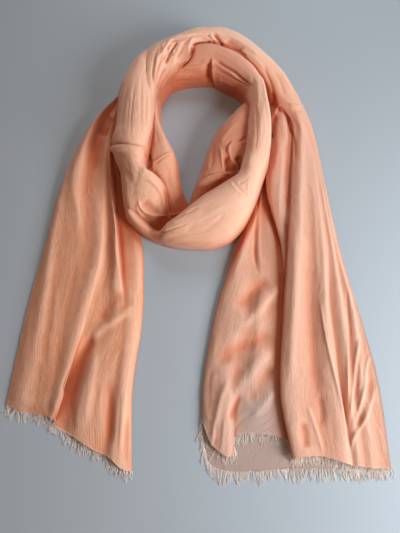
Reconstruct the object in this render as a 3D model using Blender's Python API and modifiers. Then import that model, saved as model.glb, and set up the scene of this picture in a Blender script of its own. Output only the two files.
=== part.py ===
"""A viscose scarf laid flat on a surface: one loose ring at the top and two fringed tails.

The cloth runs up the left tail, under the ring's left side and behind the neck as the
inner layer, down the right side, across the front as a broad drape, up the left side,
over the back as the outer band and down the right tail. Tables are in millimetres and
the model is in metres, +Z up, standing on z = 0. A frayed hem closes each tail.
"""

import math
from collections import namedtuple

import bmesh
import bpy
import numpy as np

MM = 0.001

# Driving dimensions, in millimetres
MIDDLE = (2.5, -6.5)    # middle of the laid scarf in the tables, and the model's origin
WALL = 1.0              # thickness of the tails' cloth
WELD = 0.02             # points of a trimmed piece closer than this are one
SEAM = 0.3              # clearance between neighbouring pieces
CUTTER_DEPTH = 3.0      # how far a cutting copy reaches below the floor
FOOT_TUCK = 24.0        # degrees that a rounded side turns in under itself
HEM_GAP = 0.5           # between a tail's hem and its fringe strip
STRIP_WIDTH = 2.2       # fringe strip, along the tail
STRAND_WIDTH = 1.1
STRAND_TIP = 0.45
STRAND_REST = 0.55      # lowest height of a strand's middle
STRAND_MARGIN = 0.3     # least distance from a strand to the corner of its hem face

CREASE_FADE = 0.6       # how soon a crease reaches its full height from its ends
CREASE_MARGIN = 8       # a crease is at its full height 1/8 of the way round from a foot
LEAN_SHARPNESS = 0.7    # how much narrower a fully leaning crease's steep side is

# How finely each form is divided
RING_ROWS = 2           # rows from one section of a ring stretch to the next
RING_ARCS = 18          # faces over the rounded top of a ring stretch
BASE_FACES = 3          # faces across its flat underside
TAIL_ROWS = 19
TAIL_STEPS = 2          # faces between two fold lines

# A ring stretch has a row per section: the two feet, its height and where its crest lies
# between them, from 0 at the outer foot to 1 at the inner one.
Section = namedtuple("Section", "name out_x out_y in_x in_y height crest")

WRAP_LEFT = [
    Section("crown", -56, 242, -44, 229, 29, 0.50),
    Section("shoulder", -74, 223, -45, 208, 42, 0.50),
    Section("upper", -88, 196, -46, 188, 46, 0.52),
    Section("middle", -96, 160, -45, 158, 47, 0.55),
    Section("waist", -96, 122, -45, 121, 46, 0.56),
    Section("bulge", -97, 90, -47, 90, 47, 0.55),
    Section("ridge", -96, 70, -49, 70, 47, 0.55),
    Section("neck", -88, 48, -52, 48, 43, 0.55),
    Section("lobe_top", -82, 28, -48, 24, 42, 0.58),
    Section("lobe", -79, 10, -32, 6, 38, 0.66),
    Section("lobe_end", -74, -4, -29, -11, 30, 0.68),
    Section("cup", -68, -16, -30, -22, 15, 0.50),
]
WRAP_FRONT = [
    Section("roll_start", -81, 16, -69, 14, 24, 0.45),
    Section("roll", -77, -12, -62, -6, 29, 0.45),
    Section("roll_turn", -63, -34, -50, -19, 29, 0.50),
    Section("vee", -42, -46, -31, -27, 29, 0.62),
    Section("drape_start", -20, -53, -19, -22, 34, 0.72),
    Section("drape_rise", 0, -56, -2, -5, 37, 0.75),
    Section("drape", 20, -57, 14, 9, 39, 0.75),
    Section("drape_full", 40, -51, 30, 20, 41, 0.74),
    Section("drape_turn", 57, -34, 44, 30, 42, 0.70),
    Section("drape_right", 73, -3, 54, 38, 42, 0.62),
    Section("drape_end", 83, 26, 58, 48, 42, 0.55),
]
WRAP_RIGHT = [
    Section("corner", 84, 29, 57, 50, 42, 0.50),
    Section("low", 93, 58, 62, 64, 43, 0.45),
    Section("side", 97, 88, 66, 86, 44, 0.42),
    Section("side_mid", 98, 114, 70, 112, 44, 0.40),
    Section("side_high", 96, 142, 73, 138, 44, 0.38),
    Section("fan_start", 92, 168, 69, 157, 44, 0.34),
    Section("fan", 84, 190, 60, 172, 44, 0.30),
    Section("fan_mid", 70, 208, 49, 180, 43, 0.28),
    Section("fan_wide", 52, 222, 38, 187, 42, 0.28),
    Section("fan_end", 36, 229, 30, 192, 42, 0.28),
    Section("fold_meet", 25, 232, 24, 195, 41, 0.28),
]
WRAP_LEFT_INNER = [
    Section("high", -56, 164, -42, 161, 28, 0.60),
    Section("upper", -58, 140, -41, 134, 31, 0.60),
    Section("middle", -60, 112, -36, 104, 33, 0.60),
    Section("wide", -62, 86, -25, 80, 34, 0.60),
    Section("low", -62, 62, -17, 60, 34, 0.60),
    Section("lowest", -58, 38, -14, 36, 32, 0.58),
    Section("turn", -50, 14, -8, 16, 26, 0.55),
    Section("under_drape", -34, -8, 0, 4, 16, 0.50),
]
WRAP_RIGHT_INNER = [
    Section("high", 80, 162, 69, 156, 10, 0.50),
    Section("upper", 80, 140, 55, 139, 27, 0.50),
    Section("middle", 80, 118, 41, 121, 32, 0.48),
    Section("wide", 78, 98, 28, 103, 33, 0.48),
    Section("low", 76, 78, 21, 84, 33, 0.50),
    Section("lowest", 70, 60, 14, 62, 32, 0.50),
    Section("turn", 58, 42, 9, 44, 30, 0.50),
    Section("near_drape", 44, 26, 3, 27, 26, 0.50),
    Section("under_drape", 28, 8, -1, 11, 18, 0.50),
]
WRAP_BACK_INNER = [
    Section("fold_meet", 26, 233, 25, 195, 41, 0.30),
    Section("right", 10, 235, 9, 194, 42, 0.30),
    Section("middle", -8, 231, -9, 192, 42, 0.30),
    Section("left", -25, 221, -23, 187, 41, 0.32),
    Section("turn", -40, 200, -34, 179, 38, 0.38),
    Section("end", -50, 172, -41, 163, 30, 0.45),
]
WRAP_BACK_OUTER = [
    Section("start", -52, 152, -43, 150, 41, 0.50),
    Section("bundle", -53, 176, -37, 167, 46, 0.50),
    Section("bundle_mid", -52, 203, -29, 182, 48, 0.50),
    Section("bundle_top", -47, 230, -22, 196, 49, 0.50),
    Section("bend", -34, 253, -11, 206, 49, 0.50),
    Section("back_left", -12, 267, 0, 216, 49, 0.50),
    Section("back", 12, 272, 12, 221, 49, 0.50),
    Section("back_right", 36, 271, 26, 221, 49, 0.50),
    Section("shoulder", 60, 262, 42, 218, 48, 0.50),
    Section("turn", 80, 248, 58, 208, 46, 0.50),
    Section("slope", 98, 230, 72, 192, 43, 0.48),
    Section("shoulder_low", 115, 212, 88, 178, 38, 0.46),
    Section("shoulder_turn", 128, 194, 98, 162, 33, 0.46),
    Section("tail_start", 139, 174, 103, 148, 28, 0.46),
]

# A crease or layered edge on a ring stretch: a row per line, from section to section,
# with its place across the rounded top at each end, how far it stands out and its width.
# A lean over 0 makes the side towards the inner foot the steep one.
Ridge = namedtuple("Ridge", "name start end across_start across_end rise width lean")

LEFT_RIDGES = [
    Ridge("outer_layer", 0.5, 7.2, 0.24, 0.30, 4.0, 0.09, 0.6),
    Ridge("middle_layer", 1.0, 5.2, 0.62, 0.52, 3.4, 0.08, -0.5),
    Ridge("bulge_line", 4.5, 5.6, 0.26, 0.78, 3.7, 0.20, 0.0),
    Ridge("lobe_edge", 7.4, 10.4, 0.62, 0.74, 5.3, 0.12, 0.9),
]
FRONT_RIDGES = [
    Ridge("lower_crease", 2.0, 6.5, 0.50, 0.24, -3.4, 0.06, 0.0),
    Ridge("crest_layer", 3.5, 9.5, 0.72, 0.62, 3.4, 0.10, 0.4),
    Ridge("corner_crease", 8.2, 10.0, 0.62, 0.45, -3.4, 0.07, 0.0),
]
RIGHT_RIDGES = [
    Ridge("bright_edge", 0.0, 8.0, 0.26, 0.20, 4.0, 0.08, -0.6),
    Ridge("long_crease", 5.6, 10.0, 0.76, 0.36, -5.3, 0.08, 0.0),
    Ridge("short_crease", 6.8, 10.0, 0.88, 0.58, -4.0, 0.07, 0.0),
]
LEFT_INNER_RIDGES = [
    Ridge("cross_crease", 2.8, 3.8, 0.30, 0.78, -5.0, 0.16, 0.0),
    Ridge("band_edge", 0.5, 6.5, 0.62, 0.68, 3.4, 0.09, 0.4),
]
RIGHT_INNER_RIDGES = [
    Ridge("pocket_low", 3.4, 5.8, 0.64, 0.56, -5.0, 0.09, 0.5),
    Ridge("pocket_high", 2.6, 5.2, 0.46, 0.40, -4.0, 0.08, 0.4),
    Ridge("turned_edge", 2.0, 5.8, 0.74, 0.74, 4.0, 0.08, 0.5),
    Ridge("lip", 5.8, 7.8, 0.30, 0.62, 3.7, 0.10, 0.5),
]
BACK_INNER_RIDGES = [
    Ridge("fold_one", 0.3, 4.8, 0.88, 0.86, 4.0, 0.06, 0.7),
    Ridge("fold_two", 0.2, 4.6, 0.74, 0.72, 4.0, 0.06, 0.7),
    Ridge("fold_three", 0.2, 3.8, 0.58, 0.60, 3.7, 0.06, 0.7),
    Ridge("meeting_hollow", 0.0, 0.9, 0.96, 0.50, -4.5, 0.16, 0.0),
]
BACK_OUTER_RIDGES = [
    Ridge("bundle_one", 0.4, 5.2, 0.22, 0.30, 4.3, 0.07, 0.6),
    Ridge("bundle_two", 0.4, 5.8, 0.44, 0.48, 4.3, 0.07, 0.6),
    Ridge("bundle_three", 0.6, 6.0, 0.66, 0.64, 4.3, 0.07, 0.6),
    Ridge("inner_edge", 2.0, 7.6, 0.82, 0.80, 4.7, 0.07, 0.9),
    Ridge("back_hollow", 6.5, 7.4, 0.62, 0.30, -4.0, 0.10, 0.0),
    Ridge("outer_fold", 7.0, 12.5, 0.36, 0.44, 4.0, 0.09, -0.5),
]

# A tail is cloth gathered along fold lines that run from the ring to the hem. A row per
# line: its place across and its height at each station, and where its hem lies.
STATIONS = (190, 110, 30, -50, -130, -210)
Fold = namedtuple("Fold", "name across height hem_across hem_height hem top")

TAIL_LEFT = [
    Fold("left_edge", (-99, -141, -162, -170, -178, -182), (4, 2, 1.4, 1.2, 1.2, 1.2), -182, 1.2, -217, 178),
    Fold("left_ridge", (-97, -138, -157, -160, -162, -165), (6, 9, 8, 8, 8, 7), -165, 4.0, -221, 180),
    Fold("left_valley", (-95, -134, -149, -148, -150, -151), (7.5, 12, 11, 6, 5, 4.5), -152, 2.6, -223, 182),
    Fold("roll_crest", (-92.5, -128, -137, -126, -134, -141), (9, 22, 19, 12, 8, 7), -143, 3.6, -225, 184),
    Fold("roll_foot", (-90, -119, -126, -115, -126, -136), (9, 5, 7, 8, 8.5, 7.8), -139, 5.6, -226, 186),
    Fold("wide_top", (-88.5, -113, -114, -105, -115, -127.5), (9.5, 8, 12, 13, 11.5, 9), -133, 6.8, -229, 187),
    Fold("wide_edge", (-87, -110, -109, -101, -111, -124), (10, 10.5, 13, 12, 8, 6.2), -130.5, 4.6, -230, 188),
    Fold("wide_tuck", (-86, -108, -106, -98, -113, -127.5), (10, 11.5, 12, 10, 4.6, 3.6), -133, 2.8, -231, 189),
    Fold("wide_fold", (-85, -106, -103, -95, -115, -131), (10, 12.2, 11, 8, 2.4, 2.1), -135.5, 1.9, -232, 190),
    Fold("wide_turn", (-84, -105.5, -101.5, -93, -112.5, -128), (10.5, 12.7, 10.5, 7.5, 1.5, 1.3), -133, 1.2, -234, 190.5),
    Fold("hollow", (-83, -105, -100, -91, -104, -118), (11, 13.1, 10, 7, 1.2, 1.1), -124, 1.1, -239, 191),
    Fold("plateau_left", (-81.5, -104, -98, -88, -92, -104), (11, 13.5, 12, 10, 7, 6), -108, 3.8, -246, 192),
    Fold("narrow_top", (-80, -103, -96, -84, -80, -90), (11, 13.8, 15, 14, 9, 7), -92, 4.4, -253, 192),
    Fold("narrow_edge", (-78.5, -102, -93, -80, -74, -82), (11, 14, 12, 10, 8.5, 6), -84, 3.4, -258, 192),
    Fold("crease", (-77, -101, -92, -81, -70, -76), (11, 14.1, 7, 5, 8, 5), -78, 2.6, -262, 192),
    Fold("band", (-75.5, -99, -88, -72, -64, -69), (11, 14, 6, 4.5, 8, 7), -71, 5.0, -267, 192),
    Fold("right_crest", (-73.5, -97, -84, -62, -57, -63), (10, 13.5, 6, 5, 6, 6), -63, 4.6, -273, 192),
    Fold("right_edge", (-71, -95, -79, -56, -52, -58), (9, 12.5, 5, 1.4, 1.2, 1.2), -54, 1.2, -276, 192),
]
TAIL_RIGHT = [
    Fold("under_right", (128, 148, 158, 164, 177, 186), (0, 0, 0, 0, 0, 0), 187, 0.0, -272, 168),
    Fold("under_middle", (112, 120, 118, 110, 104, 100), (0, 0, 0, 0, 0, 0), 102, 0.0, -272, 150),
    Fold("under_left", (101, 93, 85, 58, 33, 20), (0, 0, 0, 0, 0, 0), 24, 0.0, -270, 140),
    Fold("left_edge", (97, 88, 79, 50, 25, 12), (2.1, 2.1, 2.1, 2.1, 2.1, 2.1), 13, 2.1, -242, 138),
    Fold("left_top", (100, 90, 82, 54, 30, 17), (4.4, 5, 6, 7, 6, 5.5), 18, 4.6, -250, 138),
    Fold("left_roll", (101, 91.5, 85, 61, 38, 25), (4.6, 6, 8, 9, 8, 7), 26, 5.2, -258, 138),
    Fold("left_fold", (102, 93, 87, 68, 52, 36), (4.8, 6, 7, 7, 8, 8), 37, 5.4, -261, 139),
    Fold("left_tuck", (103, 94, 88, 73, 60, 43), (5, 5.5, 6, 6, 6, 4.5), 43, 3.2, -258, 140),
    Fold("left_step", (103.5, 94.8, 88.5, 77, 67, 51), (5, 5.5, 5.8, 6, 6, 4.6), 49, 3.4, -247, 140.5),
    Fold("left_middle", (104, 95.5, 89, 81, 73, 62), (5, 5.5, 5.8, 6, 7, 6), 61, 3.8, -244, 141),
    Fold("left_last", (105, 97, 90.5, 90, 86, 81), (5.2, 5.5, 5.6, 6, 4, 3.4), 81, 2.9, -243, 142),
    Fold("under_pleat", (106, 98.5, 92, 97, 99, 98), (5.4, 6, 5.4, 5.2, 3.0, 2.9), 98, 2.9, -247, 143),
    Fold("strand_tuck", (107, 102, 93, 99, 102, 103), (7, 7, 6.5, 5.5, 3.0, 2.9), 103, 2.9, -250, 144),
    Fold("strand_edge", (108, 98, 87, 97, 106, 107), (15, 13, 10.5, 8, 3.1, 3.0), 107, 3.0, -253, 145),
    Fold("strand_top", (109.5, 102, 91, 99.5, 109, 110), (21, 20, 16, 10.3, 3.1, 3.0), 109, 3.0, -257, 146),
    Fold("strand_crest", (111, 110, 101, 103, 112, 113), (24, 23, 19, 10.6, 3.3, 3.1), 112.5, 3.0, -260, 147),
    Fold("strand_foot", (113, 120, 113, 108, 115, 116), (20, 13.5, 11, 9.4, 4.3, 4.1), 116, 4.0, -263, 148),
    Fold("strand_turn", (114, 120.8, 113.5, 107.4, 112.5, 113.5), (20.5, 14, 11.5, 10.6, 5.5, 5.1), 113.5, 4.9, -264, 148.5),
    Fold("pleat_under", (115, 121.5, 114.5, 106, 98, 90.5), (21, 14.5, 12.5, 12.2, 6.4, 5.6), 97, 5.3, -265, 149),
    Fold("pleat_edge", (116.5, 122, 113.5, 103.5, 94.5, 87), (23, 18, 15.5, 14.5, 8.5, 7.5), 93.5, 7.2, -266, 150),
    Fold("pleat_top", (118, 125, 116, 106, 97.5, 90), (25, 22, 19, 17, 11.6, 9.8), 97, 9.2, -267, 152),
    Fold("pleat_ridge", (119.5, 132, 125, 117, 107, 99), (26, 25, 22.5, 19.5, 14, 11.3), 105, 9.8, -268, 154),
    Fold("pleat_trough", (122, 140, 136, 132, 128, 122), (25, 22, 18, 13, 8.5, 7.5), 125, 6.4, -268, 159),
    Fold("pleat_roll", (125, 146, 147, 147, 143.5, 146), (20, 18, 16, 14, 12, 10), 148, 6.4, -267, 165),
    Fold("roll_side", (127, 147.5, 149.5, 150, 147.5, 149.5), (18, 17, 14.5, 12, 8, 7), 151, 4.6, -268, 166),
    Fold("right_hollow", (129, 149, 151.5, 153, 150, 151.5), (16, 16, 13, 9, 3.6, 3.2), 153, 2.9, -269, 167),
    Fold("second_ridge", (131, 151, 154, 158, 161, 158), (14, 14, 12, 9, 10, 8), 159, 4.6, -270, 169),
    Fold("second_valley", (132.5, 153, 156, 161, 167, 164), (11, 11, 9, 7, 4, 3.8), 165, 2.9, -270, 170),
    Fold("third_ridge", (134, 154, 158, 163, 173, 171), (8, 9, 8, 6, 7, 7), 172, 3.9, -271, 171),
    Fold("outer_valley", (135.5, 155.2, 159, 165, 176.5, 180), (5, 6, 6, 4, 3.4, 3.4), 180, 2.9, -271, 172),
    Fold("outer_edge", (137, 156.5, 160.5, 167, 179, 187), (3, 3.6, 3.4, 3.1, 2.9, 2.9), 187, 2.9, -272, 173),
]

# Soft folds that cross a tail: a row per fold with its path, height and half width.
Cross = namedtuple("Cross", "name path rise width")

LEFT_CROSS = [
    Cross("plateau_lip", ((-60, -118), (-76, -131), (-96, -142), (-106, -160)), 2.0, 7.0),
]
RIGHT_CROSS = [
    Cross("slant_one", ((97, -88), (74, -118), (48, -152), (26, -176)), 3.0, 9.0),
    Cross("slant_hollow", ((90, -138), (62, -160), (34, -190)), -2.0, 7.0),
    Cross("slant_two", ((86, -160), (62, -185), (42, -212), (34, -236)), 2.6, 8.0),
]

# Which pieces lie over each one, and so trim it
LIES_UNDER = {
    "wrap_front": ("wrap_left",),
    "wrap_right": ("wrap_front",),
    "wrap_back_outer": ("wrap_right",),
    "wrap_left": ("wrap_back_outer",),
    "wrap_left_inner": ("wrap_left", "wrap_front", "wrap_back_outer"),
    "wrap_right_inner": ("wrap_right", "wrap_front", "wrap_left_inner"),
    "wrap_back_inner": ("wrap_back_outer", "wrap_right", "wrap_left", "wrap_left_inner"),
    "tail_left": ("wrap_left", "wrap_front"),
    "tail_right": ("wrap_right", "wrap_back_outer", "wrap_front"),
}

FRINGE_PITCH = 5.6      # spacing of the strands along a hem
STRAND_LENGTH = 8.0
STRAND_SPREAD = 14.0    # degrees that the strands fan out

COLOUR_CLOTH = (0.86, 0.50, 0.34, 1.0)
COLOUR_INNER = (0.80, 0.42, 0.28, 1.0)
COLOUR_FRINGE = (0.88, 0.60, 0.45, 1.0)


def clear_scene():
    for item in list(bpy.data.objects):
        bpy.data.objects.remove(item, do_unlink=True)


def new_collection(name):
    group = bpy.data.collections.new(name)
    bpy.context.scene.collection.children.link(group)
    return group


def cloth_material(name, colour, roughness):
    material = bpy.data.materials.new(name)
    material.use_nodes = True
    shader = material.node_tree.nodes["Principled BSDF"]
    shader.inputs["Base Color"].default_value = colour
    shader.inputs["Roughness"].default_value = roughness
    shader.inputs["Metallic"].default_value = 0.0
    return material


def to_metres(points):
    """Points of the tables as the model's: in metres, about its origin."""
    return ((np.asarray(points, float) - (*MIDDLE, 0)) * MM).tolist()


def add_object(name, vertices, faces, group, material=None):
    """A mesh object from points in millimetres, with its faces turned outwards."""
    mesh = bpy.data.meshes.new(name)
    mesh.from_pydata(to_metres(vertices), [], faces)
    shape = bmesh.new()
    shape.from_mesh(mesh)
    bmesh.ops.recalc_face_normals(shape, faces=shape.faces)
    shape.to_mesh(mesh)
    shape.free()
    mesh.shade_smooth()
    item = bpy.data.objects.new(name, mesh)
    if material:
        mesh.materials.append(material)
    group.objects.link(item)
    return item


def smooth_values(stations, values, places):
    """A smooth curve through values that never swings past them (limited cubic)."""
    x = np.asarray(stations, float)
    y = np.asarray(values, float)
    gaps = np.diff(x)
    slopes = np.diff(y) / gaps
    tangents = np.zeros_like(y)
    tangents[0] = slopes[0]
    tangents[-1] = slopes[-1]
    for i in range(1, len(y) - 1):
        if slopes[i - 1] * slopes[i] > 0:
            tangents[i] = 2 * slopes[i - 1] * slopes[i] / (slopes[i - 1] + slopes[i])
    places = np.clip(places, x[0], x[-1])
    span = np.clip(np.searchsorted(x, places, side="right") - 1, 0, len(gaps) - 1)
    t = (places - x[span]) / gaps[span]
    return (
        (1 + 2 * t) * (1 - t) ** 2 * y[span]
        + t * (1 - t) ** 2 * gaps[span] * tangents[span]
        + t * t * (3 - 2 * t) * y[span + 1]
        - t * t * (1 - t) * gaps[span] * tangents[span + 1]
    )


def round_curve(points, steps):
    """Points along a rounded curve through the given ones, with steps between each two.

    The knots are spaced by the root of each distance, so the curve never loops.
    """
    points = np.asarray(points, float)
    first = 2 * points[0] - points[1]
    last = 2 * points[-1] - points[-2]
    padded = np.vstack([first, points, last])
    knots = np.concatenate([[0], np.cumsum(np.linalg.norm(np.diff(padded, axis=0), axis=1) ** 0.5)])
    result = []
    for i in range(1, len(points)):
        p0, p1, p2, p3 = padded[i - 1 : i + 3]
        t0, t1, t2, t3 = knots[i - 1 : i + 3]
        for t in np.linspace(t1, t2, steps, endpoint=False):
            a1 = (p0 * (t1 - t) + p1 * (t - t0)) / (t1 - t0)
            a2 = (p1 * (t2 - t) + p2 * (t - t1)) / (t2 - t1)
            a3 = (p2 * (t3 - t) + p3 * (t - t2)) / (t3 - t2)
            b1 = (a1 * (t2 - t) + a2 * (t - t0)) / (t2 - t0)
            b2 = (a2 * (t3 - t) + a3 * (t - t1)) / (t3 - t1)
            result.append((b1 * (t2 - t) + b2 * (t - t1)) / (t2 - t1))
    result.append(points[-1])
    return np.array(result)


def crease_rise(place, lean, width):
    """Height of a crease's cross profile, 1 on its line; lean sharpens one side."""
    inner = width * (1 - LEAN_SHARPNESS * max(lean, 0))
    outer = width * (1 + LEAN_SHARPNESS * min(lean, 0))
    return np.exp(-((place / np.where(place > 0, inner, outer)) ** 2))


def stretch_rows(sections, ridges, grow):
    """Rows of points round a ring stretch, each from its outer foot over the top."""
    stations = np.arange(len(sections))
    places = np.linspace(0, len(sections) - 1, (len(sections) - 1) * RING_ROWS + 1)
    columns = {
        key: smooth_values(stations, [getattr(s, key) for s in sections], places)
        for key in ("out_x", "out_y", "in_x", "in_y", "height", "crest")
    }
    tuck = math.radians(FOOT_TUCK)
    angles = np.linspace(-tuck, math.pi + tuck, RING_ARCS + 1)
    across = np.linspace(0, 1, RING_ARCS + 1)
    spread = 0.5 - 0.5 * np.cos(angles)
    lift = (np.sin(angles) + math.sin(tuck)) / (1 + math.sin(tuck))
    rows = []
    for i, place in enumerate(places):
        outer = np.array([columns["out_x"][i], columns["out_y"][i]])
        inner = np.array([columns["in_x"][i], columns["in_y"][i]])
        width = np.linalg.norm(inner - outer)
        side = (inner - outer) / width
        skew = 2 * (columns["crest"][i] - 0.5)
        reach = (spread + skew * spread * (1 - spread)) * width
        height = lift * columns["height"][i]
        normal_side = np.gradient(height)
        normal_up = -np.gradient(reach)
        length = np.hypot(normal_side, normal_up)
        out_side = -normal_side / length
        out_up = -normal_up / length
        push = np.full(RING_ARCS + 1, grow)
        for ridge in ridges:
            if ridge.start < place < ridge.end:
                along = (place - ridge.start) / (ridge.end - ridge.start)
                line = ridge.across_start + along * (ridge.across_end - ridge.across_start)
                fade = math.sin(math.pi * along) ** CREASE_FADE
                push = push + fade * ridge.rise * crease_rise(across - line, ridge.lean, ridge.width)
        keep_foot = np.clip(np.minimum(across, 1 - across) * CREASE_MARGIN, 0, 1)
        push = grow + (push - grow) * keep_foot
        reach = reach + out_side * push
        height = np.maximum(height + out_up * push, 0)
        height[0] = height[-1] = 0
        points = [(*(outer + side * r), h) for r, h in zip(reach, height)]
        rows.append(points)
    return rows


def ring_stretch(name, sections, ridges, group, material=None, grow=0.0):
    """A rounded solid for a gathered stretch of cloth, flat underneath.

    With grow it is the copy that cuts its neighbours clear of it, and reaches below them.
    """
    rows = stretch_rows(sections, ridges, grow)
    if grow:
        first = np.array(rows[0]) - np.array(rows[1])
        last = np.array(rows[-1]) - np.array(rows[-2])
        rows[0] = [tuple(p) for p in np.array(rows[0]) + grow * first / np.linalg.norm(first[0])]
        rows[-1] = [tuple(p) for p in np.array(rows[-1]) + grow * last / np.linalg.norm(last[0])]
    vertices = []
    for row in rows:
        outer = np.array(row[0])
        inner = np.array(row[-1])
        base = [inner + (outer - inner) * step / BASE_FACES for step in range(1, BASE_FACES)]
        if grow:
            row = [(*row[0][:2], -CUTTER_DEPTH), *row, (*row[-1][:2], -CUTTER_DEPTH)]
            base = [(point[0], point[1], -CUTTER_DEPTH) for point in base]
        vertices.extend(row)
        vertices.extend(tuple(point) for point in base)
    around = len(vertices) // len(rows)
    faces = []
    for i in range(len(rows) - 1):
        for j in range(around):
            a = i * around + j
            b = i * around + (j + 1) % around
            faces.extend([(a, b, b + around), (a, b + around, a + around)])
    faces.append(tuple(range(around)))
    last_row = (len(rows) - 1) * around
    faces.append(tuple(range(last_row, last_row + around)))
    return add_object(name, vertices, faces, group, material)


def distance_along(path, x, y):
    """For each place, its distance from a path and how far along the nearest point is."""
    best = np.full(x.shape, 1e9)
    along = np.zeros(x.shape)
    lengths = [math.dist(a, b) for a, b in zip(path[:-1], path[1:])]
    total = sum(lengths)
    done = 0.0
    for a, b, length in zip(path[:-1], path[1:], lengths):
        direction = (np.array(b) - np.array(a)) / length
        t = np.clip((x - a[0]) * direction[0] + (y - a[1]) * direction[1], 0, length)
        away = np.hypot(x - a[0] - t * direction[0], y - a[1] - t * direction[1])
        nearer = away < best
        best = np.where(nearer, away, best)
        along = np.where(nearer, (done + t) / total, along)
        done += length
    return best, along


def tail_grid(folds, crosses):
    """Points of a tail's outer side: a row per step down the tail, a column across it."""
    rows = []
    for v in np.linspace(0, 1, TAIL_ROWS):
        line = []
        for fold in folds:
            y = fold.top + (fold.hem - fold.top) * v
            stations = (fold.hem, *[s for s in reversed(STATIONS) if s > fold.hem + 5])
            kept = len(stations) - 1
            across = (fold.hem_across, *reversed(fold.across[:kept]))
            height = (fold.hem_height, *reversed(fold.height[:kept]))
            x = float(smooth_values(stations, across, np.array([y]))[0])
            z = float(smooth_values(stations, height, np.array([y]))[0])
            line.append((x, y, z))
        rows.append(round_curve(line, TAIL_STEPS))
    grid = np.array(rows)
    for cross in crosses:
        path = round_curve(cross.path, 4)
        away, along = distance_along(path, grid[..., 0], grid[..., 1])
        fade = np.sin(math.pi * np.clip(along, 0.02, 0.98)) ** 0.7
        raised = cross.rise * fade * np.exp(-((away / cross.width) ** 2))
        grid[..., 2] += np.where(grid[..., 2] > 4.0, raised, 0)
    return grid


def tail_floor(folds, grid):
    """Keeps the cloth a wall's thickness above the floor, or above the layer under it."""
    doubled = folds[0].height[0] == 0
    if not doubled:
        grid[..., 2] = np.maximum(grid[..., 2], WALL)
        return grid
    fold_column = 3 * TAIL_STEPS
    grid[:, : fold_column - 1, 2] = 0
    lowest = 2 * WALL + SEAM
    grid[:, fold_column + 2 :, 2] = np.maximum(grid[:, fold_column + 2 :, 2], lowest)
    return grid


def tail_sheet(name, folds, crosses, group, material):
    grid = tail_floor(folds, tail_grid(folds, crosses))
    rows, columns, _ = grid.shape
    faces = []
    for i in range(rows - 1):
        for j in range(columns - 1):
            a = i * columns + j
            b = a + columns
            faces.extend([(a, b, b + 1), (a, b + 1, a + 1)])
    mesh = bpy.data.meshes.new(name)
    mesh.from_pydata(to_metres(grid.reshape(-1, 3)), [], faces)
    mesh.shade_smooth()
    mesh.materials.append(material)
    item = bpy.data.objects.new(name, mesh)
    group.objects.link(item)
    wall = item.modifiers.new("cloth wall", "SOLIDIFY")
    wall.thickness = WALL * MM
    wall.offset = -1
    wall.use_even_offset = False
    return item


def cut_clear(item, cutters):
    """Trims a piece so that it stays clear of the pieces that lie over it."""
    for cutter in cutters:
        cut = item.modifiers.new("clear of " + cutter.name, "BOOLEAN")
        cut.operation = "DIFFERENCE"
        cut.solver = "EXACT"
        cut.object = cutter


def fringe_places(hem, turned):
    """Places along a hem, each with whether a strand stands between it and the next.

    No strand stands in the turned columns, where the cloth folds over itself.
    """
    gaps = np.linalg.norm(np.diff(hem, axis=0), axis=1)
    starts = np.concatenate([[0], np.cumsum(gaps)])
    places = [(column, 0.0, False) for column in range(len(hem))]
    for wanted in np.arange(FRINGE_PITCH / 2, starts[-1], FRINGE_PITCH):
        column = int(np.searchsorted(starts, wanted) - 1)
        room = gaps[column] - STRAND_WIDTH
        if room < 2 * STRAND_MARGIN or column in turned:
            continue
        begin = wanted - starts[column] - STRAND_WIDTH / 2
        begin = min(max(begin, STRAND_MARGIN), room - STRAND_MARGIN)
        places.append((column, begin / gaps[column], True))
        places.append((column, (begin + STRAND_WIDTH) / gaps[column], False))
    return sorted(places, key=lambda place: place[0] + place[1])


def along_hem(hem, column, share):
    last = min(column + 1, len(hem) - 1)
    return hem[column] + (hem[last] - hem[column]) * share


def fringe(name, row_above, outer_hem, inner_hem, turned, group, material):
    """A narrow strip parted from a hem, with frayed strands standing out of it."""
    rng = np.random.default_rng(7)
    places = fringe_places(outer_hem, turned)
    drift = outer_hem - row_above
    drift[:, 2] = 0
    drift /= np.abs(drift[:, 1:2])
    corners = []
    for column, share, _ in places:
        outer = along_hem(outer_hem, column, share)
        inner = along_hem(inner_hem, column, share)
        away = along_hem(drift, column, share)
        near = HEM_GAP * away
        far = (HEM_GAP + STRIP_WIDTH) * away
        corners.append([outer + near, outer + far, inner + far, inner + near])
    vertices = [point for ring in corners for point in ring]
    faces = [(0, 1, 2, 3), tuple(4 * len(corners) - 4 + i for i in range(4))]
    for i, (_, _, stands) in enumerate(places[:-1]):
        a = 4 * i
        b = a + 4
        faces.extend([(a, a + 1, b + 1, b), (a + 2, a + 3, b + 3, b + 2), (a + 3, a, b, b + 3)])
        if not stands:
            faces.append((a + 1, a + 2, b + 2, b + 1))
            continue
        root = [corners[i][1], corners[i + 1][1], corners[i + 1][2], corners[i][2]]
        middle = np.mean(root, axis=0)
        lean = math.radians(STRAND_SPREAD * math.sin(0.9 * i) + rng.uniform(-4, 4))
        reach = STRAND_LENGTH * rng.uniform(0.75, 1.0)
        lowest = STRAND_REST if middle[2] < 2 * WALL else 3 * WALL
        drop = max(min(middle[2] - lowest, 0.18 * reach), 0)
        tip = middle + reach * np.array([math.sin(lean), -math.cos(lean), 0]) - [0, 0, drop]
        first = len(vertices)
        vertices.extend(tip + (corner - middle) * STRAND_TIP / STRAND_WIDTH for corner in root)
        base = (a + 1, b + 1, b + 2, a + 2)
        for k in range(4):
            n = (k + 1) % 4
            faces.append((base[k], base[n], first + n, first + k))
        faces.append((first, first + 1, first + 2, first + 3))
    return add_object(name, vertices, faces, group, material)


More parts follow.
